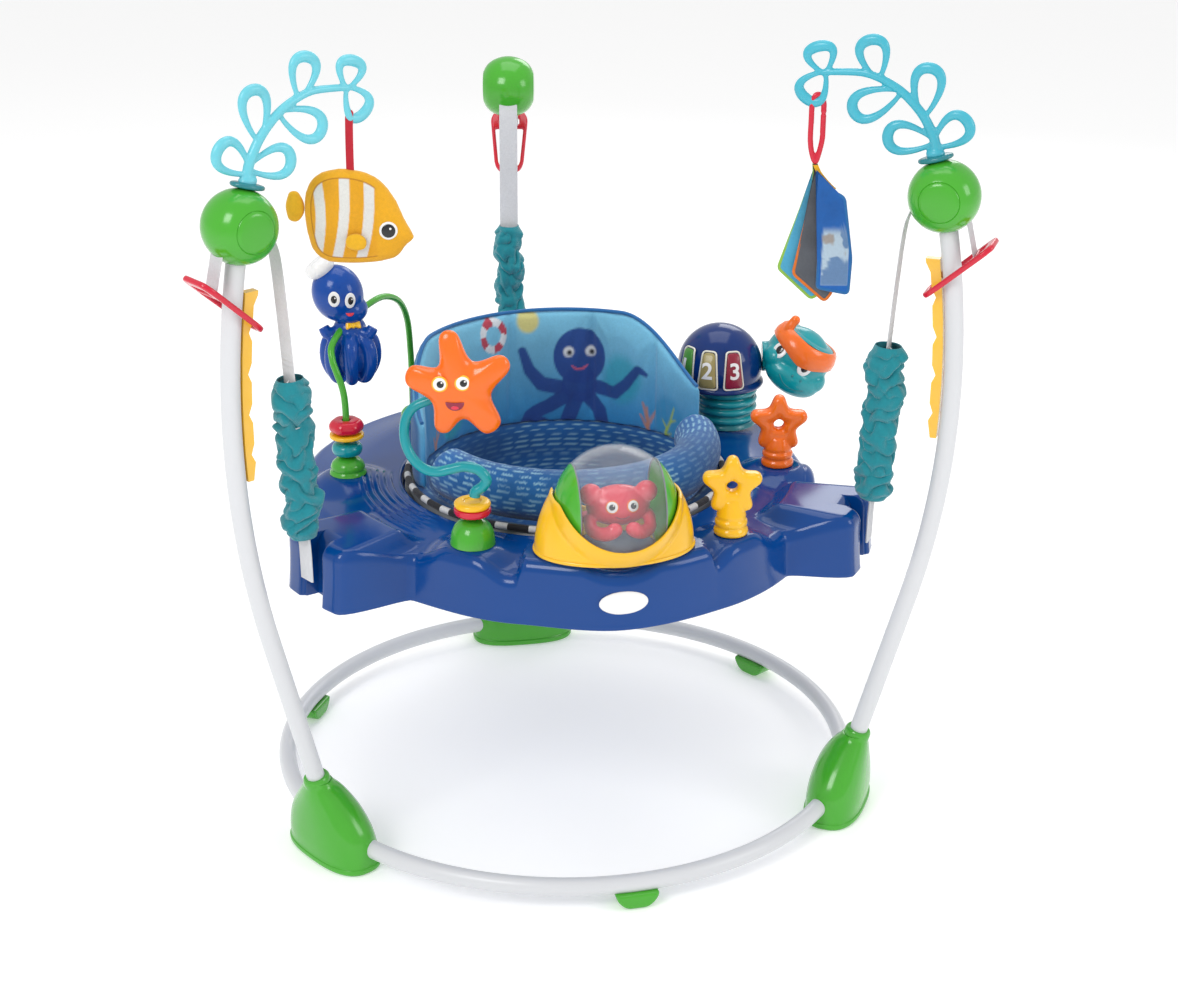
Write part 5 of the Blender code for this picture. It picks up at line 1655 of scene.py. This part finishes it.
CARDS = (
    ("front", ((0.0100, -0.0210), (0.0345, -0.0340), (0.0455, -0.1060), (0.0440, -0.1480),
               (0.0080, -0.1410)), -0.0062, BLUE_CLOTH),
    ("middle", ((-0.0010, -0.0300), (0.0150, -0.0300), (0.0260, -0.1480), (0.0180, -0.1590),
                (-0.0200, -0.1260)), 0.0, ORANGE_CLOTH),
    ("back", ((-0.0060, -0.0280), (0.0080, -0.0280), (0.0130, -0.1500), (0.0030, -0.1580),
              (-0.0370, -0.1210)), 0.0062, GREEN_CLOTH),
)


def card_colours(which):
    def colours_of(spots):
        u, v = spots[:, 0], spots[:, 2]
        wash = watercolour(u * 2.4, v * 2.4)
        if which == "front":
            colours = np.array((0.010, 0.130, 0.480)) * (0.8 + 0.4 * wash[:, None])
            picture = smooth_step((-0.066 - v) / 0.012) * bump(np.abs(u - 0.027), 0.0145,
                                                               0.0165) * smooth_step((v + 0.139) / 0.003)
            colours = laid_over(colours, picture, (0.560, 0.700, 0.800), 0.9)
            colours = laid_over(colours, picture * smooth_step((wash - 0.52) / 0.05), (0.060, 0.180, 0.420),
                                0.8)
            colours = laid_over(colours, picture * smooth_step((0.38 - wash) / 0.05), (0.330, 0.220, 0.140),
                                0.7)
        elif which == "middle":
            colours = np.array((0.110, 0.120, 0.140)) * (0.7 + 0.6 * wash[:, None])
        else:
            colours = np.array((0.080, 0.420, 0.660)) * (0.75 + 0.5 * wash[:, None])
        return u, v, colours
    return colours_of


def make_link_and_cards():
    """A red clip with three bound cloth cards on it."""
    place = at(joint_place("link_swing")) @ FACING
    half, top, low = 0.0068, 0.0040, -0.0720
    line = smooth_line([(half, -0.0200), (half, -0.0330), (half * 0.95, -0.0470), (0.0030, -0.0640),
                        (0.0, low),
                        (-0.0040, -0.0640), (-half, -0.0480), (-half, -0.0250), (-half * 0.95, -0.0060),
                        (-0.0030, top),
                        (0.0030, top), (half * 0.95, -0.0040), (half, -0.0130)], 6)
    clip = sweep_mesh("clip", [(x, 0.0, z) for x, z in line], 0.0027, 16, oval=1.2, lie=(0, 1, 0))
    knobs = [ellipsoid_mesh("knob", (0.0034, 0.0036, 0.0042), at((half, 0, z)), 20, 12) for z in (-0.0135,
        -0.0200)]
    make_piece(
        "toy_clip", fused("clip", [clip] + knobs, 0.0009, 4), RED, "link", place, ["toy_link"],
    )
    place = at(joint_place("cards_swing")) @ FACING
    for name, corners, depth, binding in CARDS:
        outline = rounded(corners, 0.0050, 5)
        core = subdivided("card",
                          pillow_mesh("card", outline, 0.0042, 6.0, 40, at((0, depth, 0)) @ STANDING), 2)
        print_cloth(core, card_colours(name))
        stands_for = ["card_pack"] if name == "front" else []
        card = make_piece("cloth_card_" + name, core, PRINTED_CLOTH, "cards", place, stands_for)
        edge = sweep_mesh("edge", [(x, depth, z) for x, z in outline], 0.0021, 10, closed=True)
        make_piece("card_binding_" + name, edge, binding, "cards", place)
        top_x = (corners[0][0] + corners[1][0]) / 2
        tag_line = [(0.0, 0.0035), (0.0005 + top_x * 0.2, -0.0060), (top_x * 0.7, -0.0180),
                    (top_x, corners[0][1] - 0.0030)]
        tag = flat_band("tag", tag_line, 0.0060, 0.0012)
        tag.transform(at((0, depth * 0.6, 0)))
        paint = {"front": YELLOW_CLOTH, "middle": BLACK_CLOTH, "back": GREEN_CLOTH}[name]
        make_piece("card_tag_" + name, tag, paint, "cards", place)


# ---------------------------------------------------------------- toys on the tray
BALL_RADIUS = 0.0705
BALL_CAP_PLANE = 0.0490
BALL_CENTRE = joint_place("dome_spin")
LYING = Matrix.Rotation(math.radians(90), 4, "Y")      # turns a lathed shape's axis from Z to X


def sphere_profile(radius, start, end, count):
    """(radius, height) points of a sphere between two heights."""
    angles = np.linspace(math.asin(max(-1, min(1, start / radius))),
                         math.asin(max(-1, min(1, end / radius))), count)
    return [(radius * math.cos(angle), radius * math.sin(angle)) for angle in angles]


def make_dome():
    """The see-through ball with green ends and a crab inside, in its yellow cradle."""
    place = at(BALL_CENTRE)
    skin = BALL_RADIUS - 0.0018
    wall = sphere_profile(BALL_RADIUS, -BALL_CAP_PLANE, BALL_CAP_PLANE, 30)
    wall += sphere_profile(skin, BALL_CAP_PLANE, -BALL_CAP_PLANE, 30)
    shell = lathe_mesh("shell", wall, 96, ring=True)
    shell.transform(LYING)
    make_piece("clear_shell", shell, CLEAR, "ball", place, ["dome_ball"])
    ends = []
    for toward in (-1, 1):
        cap = [(r, toward * z) for r,
               z in sphere_profile(BALL_RADIUS + 0.0004, BALL_CAP_PLANE, BALL_RADIUS + 0.0004, 16)]
        cap += [(r, toward * z) for r, z in sphere_profile(skin, skin, BALL_CAP_PLANE, 16)]
        mesh = lathe_mesh("cap", cap, 96, ring=True)
        mesh.transform(LYING)
        ends.append((mesh, GREEN))
        lip_radius = math.sqrt(BALL_RADIUS ** 2 - BALL_CAP_PLANE ** 2)
        lip_line = [(toward * (BALL_CAP_PLANE - 0.0006), (lip_radius + 0.0004) * math.cos(a),
                     (lip_radius + 0.0004) * math.sin(a))
                    for a in np.linspace(0, math.tau, 97)[:-1]]
        ends.append((sweep_mesh("lip", lip_line, 0.0009, 10, closed=True), GREY))
    make_painted("ball_ends", ends, "ball", place)

    lumps = [
        ellipsoid_mesh("crab", (0.0370, 0.0230, 0.0235), at((0.003, 0, 0.001))),
        ellipsoid_mesh("crab", (0.0130, 0.0120, 0.0125), at((-0.0290, -0.002, 0.0165))),
        ellipsoid_mesh("crab", (0.0130, 0.0120, 0.0125), at((0.0350, -0.002, 0.0165))),
    ]
    for toward in (-1, 1):
        claw = smooth_line([(toward * 0.034 + 0.003, -0.004, -0.010),
                            (toward * 0.033 + 0.003, -0.020, -0.020),
                            (toward * 0.021 + 0.003, -0.031, -0.021),
                            (toward * 0.011 + 0.003, -0.035, -0.016)], 6)
        lumps.append(sweep_mesh("claw", claw, np.linspace(0.0070, 0.0088, len(claw)), 16))
        tip = ellipsoid_mesh("claw", (0.0095, 0.0075, 0.0085), at((toward * 0.011 + 0.003, -0.035, -0.015)),
                             24, 14)
        lumps.append(tip)
        for step in range(3):
            leg = smooth_line([(toward * 0.026 + 0.003, 0.004 + 0.004 * step, -0.012),
                               (toward * 0.042 + 0.003, 0.006 + 0.006 * step, -0.018),
                               (toward * 0.040 + 0.003, 0.006 + 0.007 * step, -0.031)], 5)
            lumps.append(sweep_mesh("leg", leg, np.linspace(0.0046, 0.0026, len(leg)), 12))
    crab = fused("crab", lumps, 0.0015, 5)
    parts = [(crab, PINK_RED)]
    for x in (-0.0080, 0.0160):
        parts += eye_parts(crab, (x, -0.08, 0.0070), (0, 1, 0), 0.0068, rim=ORANGE)
    grin = [(x + 0.004, 0.0, z) for x,
            z in ((-0.0080, -0.0045), (-0.0030, -0.0072), (0.0030, -0.0072), (0.0080, -0.0045))]
    placed = [on_surface(crab, (x, -0.08, z), (0, 1, 0)).translation for x, _y, z in smooth_line(grin, 5)]
    parts.append((sweep_mesh("grin", placed, 0.0007, 8), MAROON))
    make_painted("crab_in_ball", parts, "ball", place)

    deck = DECK_TOP + 0.0004 - BALL_CENTRE.z
    bowl = ellipsoid_mesh("bowl", (0.0925, 0.0600, 0.1150), at((0, 0.005, deck)), 96, 64)
    socket = ellipsoid_mesh("socket", (BALL_RADIUS + 0.0018,) * 3, None, 96, 64)
    room = 0.3
    below = box_mesh((room, room, room), (0, 0, deck - room / 2))
    above = box_mesh((room, room, room), (0, 0, 0.0165 + room / 2))
    window = lathe_mesh("window", [(0.0, -0.2), (0.0735, -0.2), (0.0735, 0.2), (0.0, 0.2)], 128)
    window.transform(at((0, 0, 0.0445)) @ STANDING)
    cup = ellipsoid_mesh("cup", (BALL_RADIUS + 0.0062,) * 3, None, 96, 64)
    solid = fused("bowl", [bowl, cup], 0.0018, 4)
    cradle = fused("cradle", [carved("cradle", solid, below, above, window, socket)], 0.0012, 6)
    foot = [(0.0915 * math.cos(a), 0.005 + 0.0590 * math.sin(a), deck + 0.0030) for a in np.linspace(0,
        math.tau, 121)[:-1]]
    hem = sweep_mesh("hem", foot, 0.0026, 12, closed=True, lie=(0, 0, 1))
    make_piece("ball_cradle", joined("cradle", [cradle, hem]), YELLOW, "tray", place,
               ["dome_housing"])


def box_mesh(sides, centre):
    shape = bmesh.new()
    bmesh.ops.create_cube(shape, size=1.0, matrix=at(centre) @ Matrix.Diagonal((*sides, 1.0)))
    mesh = bpy.data.meshes.new("box")
    shape.to_mesh(mesh)
    shape.free()
    return mesh


def make_post_star(name, paint, height, reach):
    """A star with a hole that turns on a stout ribbed stem."""
    tips = [(90.0 + 72.0 * i, reach) for i in range(5)]
    star = holed_star("star", puffy_outline(tips, reach * 0.66, 0.12), 0.0062, 0.0210)
    star.transform(at((0, 0, height)) @ STANDING)
    profile = [(0.0, 0.0006), (0.0196, 0.0006), (0.0204, 0.0034), (0.0200, 0.0070), (0.0180, 0.0092),
               (0.0178, 0.0112),
               (0.0192, 0.0134), (0.0190, 0.0176), (0.0170, 0.0196), (0.0168, 0.0212), (0.0176, 0.0236),
               (0.0160, 0.0290), (0.0130, height - 0.0180), (0.0, height - 0.0140)]
    stem = lathe_mesh("stem", profile, 40)
    hole = lathe_mesh("hole", [(0.0, -0.1), (0.0062, -0.1), (0.0062, 0.1), (0.0, 0.1)], 40)
    hole.transform(at((0, 0, height)) @ STANDING)
    mesh = fused("star", [star, stem], 0.0011, 5)
    make_piece(name + "_toy", carved("star", mesh, hole), paint, name,
               at(joint_place(name + "_spin")) @ FACING, [name])


ARCH_LINE = (
    (-0.2712, 0.0209, 0.4200), (-0.2712, 0.0209, 0.4700), (-0.2718, 0.0210, 0.5060),
    (-0.2745, 0.0215, 0.5260),
    (-0.2800, 0.0240, 0.5440), (-0.2845, 0.0285, 0.5600), (-0.2830, 0.0400, 0.5760),
    (-0.2620, 0.0680, 0.5940), (-0.2330, 0.1050, 0.6040), (-0.2090, 0.1400, 0.6030),
    (-0.1870, 0.1750, 0.5850),
    (-0.1740, 0.2060, 0.5500), (-0.1690, 0.2240, 0.5000), (-0.1680, 0.2260, 0.4600),
    (-0.1680, 0.2260, 0.4120),
)


def make_bead_arch():
    """The green bent bar with its two feet, beads and discs."""
    post = joint_place("bead_red_spin")
    base = Vector((post.x, post.y, 0.4140))
    parts = [sweep_mesh("bar", smooth_line(ARCH_LINE, 7), 0.0042, 20)]
    near = [(0.0, 0.0230), (0.0060, 0.0228), (0.0135, 0.0200), (0.0190, 0.0150), (0.0215, 0.0095),
            (0.0205, 0.0055),
            (0.0225, 0.0030), (0.0230, 0.0004), (0.0, 0.0004)]
    foot = lathe_mesh("foot", near, 48, sharp=50.0)
    foot.transform(at(base))
    far = lathe_mesh("foot", [(r * 0.74, z * 0.85) for r, z in near], 40, sharp=50.0)
    far.transform(at((-0.1680, 0.2260, TRAY_TOP - 0.0010)))
    make_piece("bead_bar", joined("bar", parts + [foot, far]), GREEN, "tray", None,
               ["arch_bar"])
    teal = [(0.0056, 0.0086), (0.0110, 0.0086), (0.0168, 0.0060), (0.0190, 0.0), (0.0168, -0.0060),
            (0.0110, -0.0078), (0.0056, -0.0078)]
    bead = lathe_mesh("bead", smooth_line(teal, 4) + [np.array((0.0056, 0.0))], 48, ring=True)
    make_piece("teal_bead", bead, TEAL, "bead_teal", at(joint_place("bead_teal_spin")),
               ["bead_teal"])
    red = [(0.0056, 0.0120), (0.0100, 0.0125), (0.0165, 0.0118), (0.0200, 0.0075), (0.0208, 0.0030),
           (0.0185, -0.0020),
           (0.0110, -0.0045), (0.0056, -0.0045)]
    disc = [(0.0056, -0.0050), (0.0190, -0.0052), (0.0212, -0.0075), (0.0200, -0.0105), (0.0100, -0.0120),
            (0.0056, -0.0120)]
    top = lathe_mesh("bead", smooth_line(red, 4), 48, ring=True)
    dimpled = points_of(top)
    turn = np.arctan2(dimpled[:, 1], dimpled[:, 0])
    dimpled[:, :2] *= (1.0 + 0.035 * np.cos(turn * 6))[:, None]
    set_points(top, dimpled)
    low = lathe_mesh("bead", smooth_line(disc, 4), 48, ring=True)
    make_painted("red_bead_and_disc", [(top, RED), (low, YELLOW)], "bead_red", at(post),
                 ["bead_red"])


def make_octopus():
    """A plain blue octopus, threaded on the bar, with a pale bun on its head and a yellow knot."""
    head = at((-0.0130, -0.002, 0.0360)) @ Matrix.Rotation(math.radians(-18), 4, "Y")
    lumps = [
        ellipsoid_mesh("head", (0.0315, 0.0300, 0.0360), head),
        ellipsoid_mesh("cheek", (0.0235, 0.0240, 0.0190), at((0.0000, -0.002, 0.0160))),
        ellipsoid_mesh("middle", (0.0210, 0.0200, 0.0200), at((0.0000, 0, -0.0120))),
        ellipsoid_mesh("belly", (0.0280, 0.0260, 0.0300), at((0.0020, 0, -0.0420))),
    ]
    for i in range(7):
        azimuth = 360.0 * i / 7 + 20.0
        line = smooth_line([polar(0.012, azimuth, -0.016), polar(0.027, azimuth, -0.028),
                            polar(0.0300, azimuth, -0.050),
                            polar(0.0220, azimuth, -0.068), polar(0.0120, azimuth, -0.0680)], 6)
        lumps.append(sweep_mesh("arm", line, np.linspace(0.0100, 0.0080, len(line)), 14))
    for x in (-0.0250, 0.0240):
        line = smooth_line([(x * 0.5, -0.006, -0.010), (x, -0.012, -0.0140), (x * 1.25, -0.010, -0.0050)], 5)
        lumps.append(sweep_mesh("arm", line, np.linspace(0.0080, 0.0070, len(line)), 14))
    body = fused("octopus", lumps, 0.0014, 4)
    bun = [ellipsoid_mesh("bun", (0.0185, 0.0180, 0.0125),
                          at((-0.0320, -0.004, 0.0690)) @ Matrix.Rotation(math.radians(-38), 4, "Y"), 40, 24)]
    for i in range(8):
        azimuth = 45.0 * i
        lump = Matrix.Rotation(math.radians(-38), 4, "Y") @ at(polar(0.0120, azimuth, 0.0020))
        bun.append(ellipsoid_mesh("bun", (0.0085, 0.0085, 0.0095), at((-0.0320, -0.004, 0.0690)) @ lump, 20,
                                  12))
    parts = [(body, OCTOPUS_BLUE), (fused("bun", bun, 0.0013, 4), WHITE)]
    for x, z in ((0.0050, 0.0340), (-0.0140, 0.0370)):
        parts += eye_parts(body, (x, -0.08, z), (0, 1, 0), 0.0072, 1.35)
    parts += smile_parts(body, (0.0040, -0.08, 0.0180), (0, 1, 0), 0.0100, 0.0045, PINK_RED)
    for x in (-0.0085, 0.0085):
        wing = pillow_mesh("knot",
                           rounded([(0, 0.002), (x, 0.0075), (x * 1.2, -0.0060), (0, -0.002)], 0.004, 4),
                           0.0060, 2.4, 6)
        wing.transform(on_surface(body, (0.0060, -0.08, -0.0010), (0, 1, 0), 0.0012))
        parts.append((wing, YELLOW))
    parts.append((dish(0.0042, 0.0070, on_surface(body, (0.0060, -0.08, -0.0010), (0, 1, 0), 0.0014)),
                  YELLOW))
    make_painted("octopus_toy", parts, "octopus", at(joint_place("octopus_swing")) @ FACING,
                 ["octopus"])


CURL = (
    (0.0030, 0.000), (0.0040, 0.006), (0.0120, 0.012), (0.0165, 0.021), (0.0080, 0.032), (-0.0080, 0.036),
    (-0.0240, 0.033), (-0.0400, 0.030), (-0.0550, 0.034), (-0.0680, 0.047), (-0.0755, 0.066),
    (-0.0750, 0.087),
    (-0.0660, 0.103), (-0.0490, 0.112), (-0.0300, 0.119), (-0.0140, 0.130),
)


def make_stalk():
    """A domed foot with two discs, and the springy teal arm that carries the starfish."""
    pivot = joint_place("stalk_sway")
    base = Vector((pivot.x, pivot.y, 0.4140))
    dome = [(0.0, 0.0315), (0.0080, 0.0308), (0.0160, 0.0275), (0.0215, 0.0215), (0.0246, 0.0140),
            (0.0256, 0.0070),
            (0.0262, 0.0030), (0.0262, 0.0004), (0.0, 0.0004)]
    foot = lathe_mesh("foot", dome, 56, sharp=50.0)
    neck = lathe_mesh("neck", [(0.0, 0.0400), (0.0110, 0.0400), (0.0110, 0.0330), (0.0, 0.0330)], 32)
    red = lathe_mesh("disc",
                     smooth_line([(0.0, 0.0360), (0.0170, 0.0360), (0.0208, 0.0385), (0.0212, 0.0420),
                                  (0.0190, 0.0450), (0.0, 0.0455)], 4), 56)
    yellow = lathe_mesh("disc",
                        smooth_line([(0.0, 0.0452), (0.0170, 0.0452), (0.0208, 0.0472), (0.0210, 0.0505),
                                     (0.0180, 0.0530),
                                             (0.0110, 0.0535), (0.0090, 0.0515), (0.0, 0.0515)], 4), 56)
    make_painted(
        "stalk_foot", [(foot, GREEN), (neck, GREEN), (red, RED), (yellow, YELLOW)], "tray", at(base),
        ["stalk_base"],
    )
    line = [(x, 0.0105 * min(1.0, max(0.0, z - 0.03) / 0.07), z) for x, z in smooth_line(CURL, 8)]
    thick = [0.0064 - 0.0010 * i / (len(line) - 1) for i in range(len(line))]
    arm = sweep_mesh("arm", line, thick, 24)
    tip = ellipsoid_mesh("tip", (0.0075, 0.0075, 0.0075), at(line[-1]), 24, 14)
    place = at(pivot) @ FACING
    make_piece("curled_arm", joined("arm", [arm, tip]), TEAL, "stalk", place, ["stalk_arm"])

    tips = [(32.0, 0.0610), (101.0, 0.0660), (164.0, 0.0600), (246.0, 0.0540), (309.0, 0.0600)]
    star = pillow_mesh("starfish", puffy_outline(tips, 0.0350, 0.13), 0.0290, 2.2, 14, STANDING)
    star = subdivided("starfish", star)
    parts = [(star, ORANGE)]
    for x, z in ((-0.0215, 0.0100), (0.0040, 0.0115)):
        parts += eye_parts(star, (x, -0.08, z), (0, 1, 0), 0.0078, look=(0.0008, 0.0), rim=YELLOW)
    parts += smile_parts(star, (-0.0050, -0.08, -0.0110), (0, 1, 0), 0.0210, 0.0100)
    make_painted("starfish_toy", parts, "starfish", at(joint_place("starfish_turn")) @ FACING,
                 ["starfish"])


TURTLE_CENTRE = polar(0.275, 32.0, 0.485)
SHELL_RADIUS = 0.0558
KEYS = ((1, 205.0, LEAF_GREEN), (2, 240.0, OLIVE), (3, 275.0, MAROON))


def shell_point(azimuth, rise, radius):
    """A point over the turtle's shell at an azimuth and a rise in degrees."""
    low = math.radians(rise)
    return polar(radius * math.cos(low), azimuth, radius * math.sin(low))


def key_edge(azimuth, inset):
    """The wedge-shaped edge of a key on the shell, in degrees."""
    corners = [(-13.5, -16.0), (13.5, -16.0), (8.5, 34.0), (-8.5, 34.0)]
    drawn = rounded([(x * (1 - inset / 13.5), 9.0 + (y - 9.0) * (1 - inset / 25.0)) for x, y in corners],
                    5.0, 5)
    return [(azimuth + x / math.cos(math.radians(max(0.0, y))), y) for x, y in drawn]


def key_mesh(azimuth):
    """A curved key: its outline drawn in to the middle, following the shell."""
    edge = key_edge(azimuth, 1.9)
    rows = []
    for share, radius in ((0.0, 0.0582), (0.35, 0.0580), (0.8, 0.0580), (1.0, 0.0582), (1.0, 0.0596),
                          (0.985, 0.0603),
                          (0.94, 0.0606), (0.8, 0.0608), (0.6, 0.0609), (0.4, 0.0610), (0.2, 0.0610),
                          (0.0, 0.0610)):
        scale = max(share, 0.02)
        rows.append([shell_point(azimuth + (a - azimuth) * scale, 9.0 + (e - 9.0) * scale, radius) for a,
                     e in edge])
    return grid_mesh("key", rows, sharp=70.0)


def pocket_mesh(azimuth):
    """The room a key needs in the shell when it is pressed."""
    edge = key_edge(azimuth, 0.5)
    shares = (0.02, 0.25, 0.5, 0.75, 1.0)
    rings = [(share, 0.0542) for share in shares] + [(share, 0.0700) for share in shares[::-1]]
    rows = []
    for share, radius in rings:
        rows.append([shell_point(azimuth + (a - azimuth) * share, 9.0 + (e - 9.0) * share, radius) for a,
                     e in edge])
    return grid_mesh("pocket", rows, sharp=70.0)


def numeral_mesh(number, azimuth):
    """A raised number, bent to the key."""
    curve = bpy.data.curves.new("numeral", "FONT")
    curve.body = str(number)
    curve.size = 0.0300
    curve.extrude = 0.0005
    curve.offset = 0.0006
    curve.align_x = "CENTER"
    curve.align_y = "CENTER"
    mesh = curve_to_mesh(curve)
    dense = evaluated("numeral", mesh,
                      ("REMESH", {"mode": "SHARP", "octree_depth": 6, "use_remove_disconnected": False}))
    spots = points_of(dense if len(dense.polygons) else mesh)
    chosen = dense if len(dense.polygons) else mesh
    bent = []
    for x, y, z in spots:
        rise = 8.0 + math.degrees(y / 0.0610)
        turn = azimuth + math.degrees(x / 0.0610) / math.cos(math.radians(rise))
        bent.append(tuple(shell_point(turn, rise, 0.0612 + z)))
    set_points(chosen, bent)
    return chosen


def make_turtle():
    """A turtle with a round navy shell, ribbed belly, three number keys, and a head with a brow band."""
    place = at(TURTLE_CENTRE)
    dome = sphere_profile(SHELL_RADIUS, SHELL_RADIUS, -0.0150, 30)
    dome += [(0.0560, -0.0175), (0.0578, -0.0190), (0.0585, -0.0215), (0.0572, -0.0240), (0.0540, -0.0250),
             (0.0300, -0.0290), (0.0, -0.0300)]
    shell = lathe_mesh("shell", dome, 96, sharp=50.0)
    shell = carved("shell", shell, *[pocket_mesh(azimuth) for _number, azimuth, _paint in KEYS])
    floor = TRAY_TOP + 0.0012 - TURTLE_CENTRE.z
    ribs = []
    for i in range(41):
        share = i / 40
        height = -0.0260 + (floor + 0.0260) * share
        ribs.append((0.0345 + 0.0030 * share + 0.0022 * abs(math.sin(math.pi * share * 4.5)), height))
    belly = lathe_mesh("belly", [(0.0, -0.0255)] + ribs + [(0.0, floor)], 64, sharp=70.0)
    belly.transform(at((0.0090, -0.004, 0)))
    parts = [(shell, NAVY), (belly, DARK_TEAL)]
    for i in range(4):
        height = -0.0260 + (floor + 0.0260) * (i + 0.5) / 4.5
        line = [(0.0090 + 0.0366 * math.cos(a), -0.004 + 0.0366 * math.sin(a),
                 height) for a in np.linspace(0, math.tau, 65)[:-1]]
        parts.append((sweep_mesh("rib", line, 0.0044, 12, closed=True, lie=(0, 0, 1)), TEAL))
    for _number, azimuth, _paint in KEYS:
        edge = [shell_point(a, e, 0.0592) for a, e in key_edge(azimuth, 0.0)]
        parts.append((sweep_mesh("bezel", edge, 0.0013, 10, closed=True), CREAM))
    make_painted("turtle_shell_and_belly", parts, "tray", place, ["turtle_body"])
    for number, azimuth, paint in KEYS:
        make_painted(
            "number_key_%d" % number, [(key_mesh(azimuth), paint), (numeral_mesh(number, azimuth), WHITE)],
            "key_%d" % number,
            place, ["number_button_%d" % number],
        )

    roll = Matrix.Rotation(math.radians(33), 4, "Y")
    head_place_here = place @ at((0.1000, -0.0200, 0.0100)) @ FACING @ roll
    lumps = [
        ellipsoid_mesh("skull", (0.0440, 0.0400, 0.0400), at((0, 0, 0.002))),
        ellipsoid_mesh("muzzle", (0.0400, 0.0270, 0.0240), at((0.0040, -0.0170, -0.0200))),
        ellipsoid_mesh("cheek", (0.0180, 0.0180, 0.0170), at((-0.0270, -0.0150, -0.0100))),
        ellipsoid_mesh("cheek", (0.0180, 0.0180, 0.0170), at((0.0300, -0.0150, -0.0110))),
    ]
    neck_line = [(-0.0180, 0.006, -0.0110), (-0.0390, 0.006, -0.0250)]
    lumps.append(sweep_mesh("neck", smooth_line(neck_line, 6), 0.0200, 24))
    skull = fused("head", lumps, 0.0014, 6)
    band = []
    for i in range(72):
        angle = math.tau * i / 72
        wave = 0.0035 * math.cos(angle * 2) - 0.0045 * bump(abs(math.degrees(angle) - 270.0), 0.0, 40.0)
        row = []
        for out, height in ((0.0445, 0.0080), (0.0462, 0.0100), (0.0458, 0.0200), (0.0420, 0.0300),
                            (0.0385, 0.0330),
                            (0.0355, 0.0325), (0.0360, 0.0260), (0.0400, 0.0140)):
            row.append((out * math.cos(angle), out * 0.92 * math.sin(angle),
                        height + wave * (1 if height < 0.02 else 0.3)))
        band.append(row)
    crown = pillow_mesh("crown", [(x, y * 0.92) for x, y in circle(0.0365, 48)], 0.0060, 3.0, 8,
                        at((0, 0, 0.0315)))
    knob = fused("knob", [sweep_mesh("knob",
                                     smooth_line([(-0.0330, -0.012, 0.0200), (-0.0360, -0.012, 0.0330),
                                                  (-0.0350, -0.012, 0.0440)], 5),
                                     [0.0078, 0.0076, 0.0074, 0.0072, 0.0070, 0.0068, 0.0066, 0.0064,
                                      0.0062, 0.0062, 0.0062], 18),
                          ellipsoid_mesh("knob", (0.0064, 0.0064, 0.0064), at((-0.0350, -0.012, 0.0440)),
                                         20, 12)], 0.0012, 3)
    parts = [(skull, TEAL), (grid_mesh("band", band, through=True, sharp=60.0), ORANGE), (crown, TEAL),
             (knob, ORANGE)]
    for x in (-0.0320, 0.0060):
        parts += eye_parts(skull, (x, -0.09, 0.0030), (0, 1, 0), 0.0096, 1.25)
    for x in (-0.0040, 0.0090):
        parts.append((dish(0.0016, 0.0020, on_surface(skull, (x + 0.002, -0.09, -0.0140), (0, 1, 0)), 1.3),
                      DARK_TEAL))
    grin = [on_surface(skull, (x, -0.09, z), (0, 1, 0)).translation for x, z in smooth_line(
        [(-0.0170, -0.0220), (-0.0060, -0.0290), (0.0090, -0.0300), (0.0220, -0.0240)], 6)]
    parts.append((sweep_mesh("grin", grin, 0.0008, 8), DARK_TEAL))
    make_painted("turtle_head_toy", parts, "tray", head_place_here, ["turtle_head"])


make_stage()
make_ring()
for foot_name, foot_azimuth in {"front": 273.0, "right": 32.0, "left": 152.0}.items():
    pad_foot(foot_name, foot_azimuth)
for post_number, post_side in enumerate(POSTS):
    make_post(post_side, post_number)
make_tray()
make_seat()
for arm_side, arm_paint in (("left", LIGHT_AQUA), ("right", DEEP_AQUA)):
    make_seaweed(arm_side, arm_paint)
make_fish()
make_link_and_cards()
make_dome()
make_post_star("yellow_star", YELLOW, 0.0600, 0.0345)
make_post_star("orange_star", ORANGE, 0.0550, 0.0355)
make_bead_arch()
make_octopus()
make_stalk()
make_turtle()
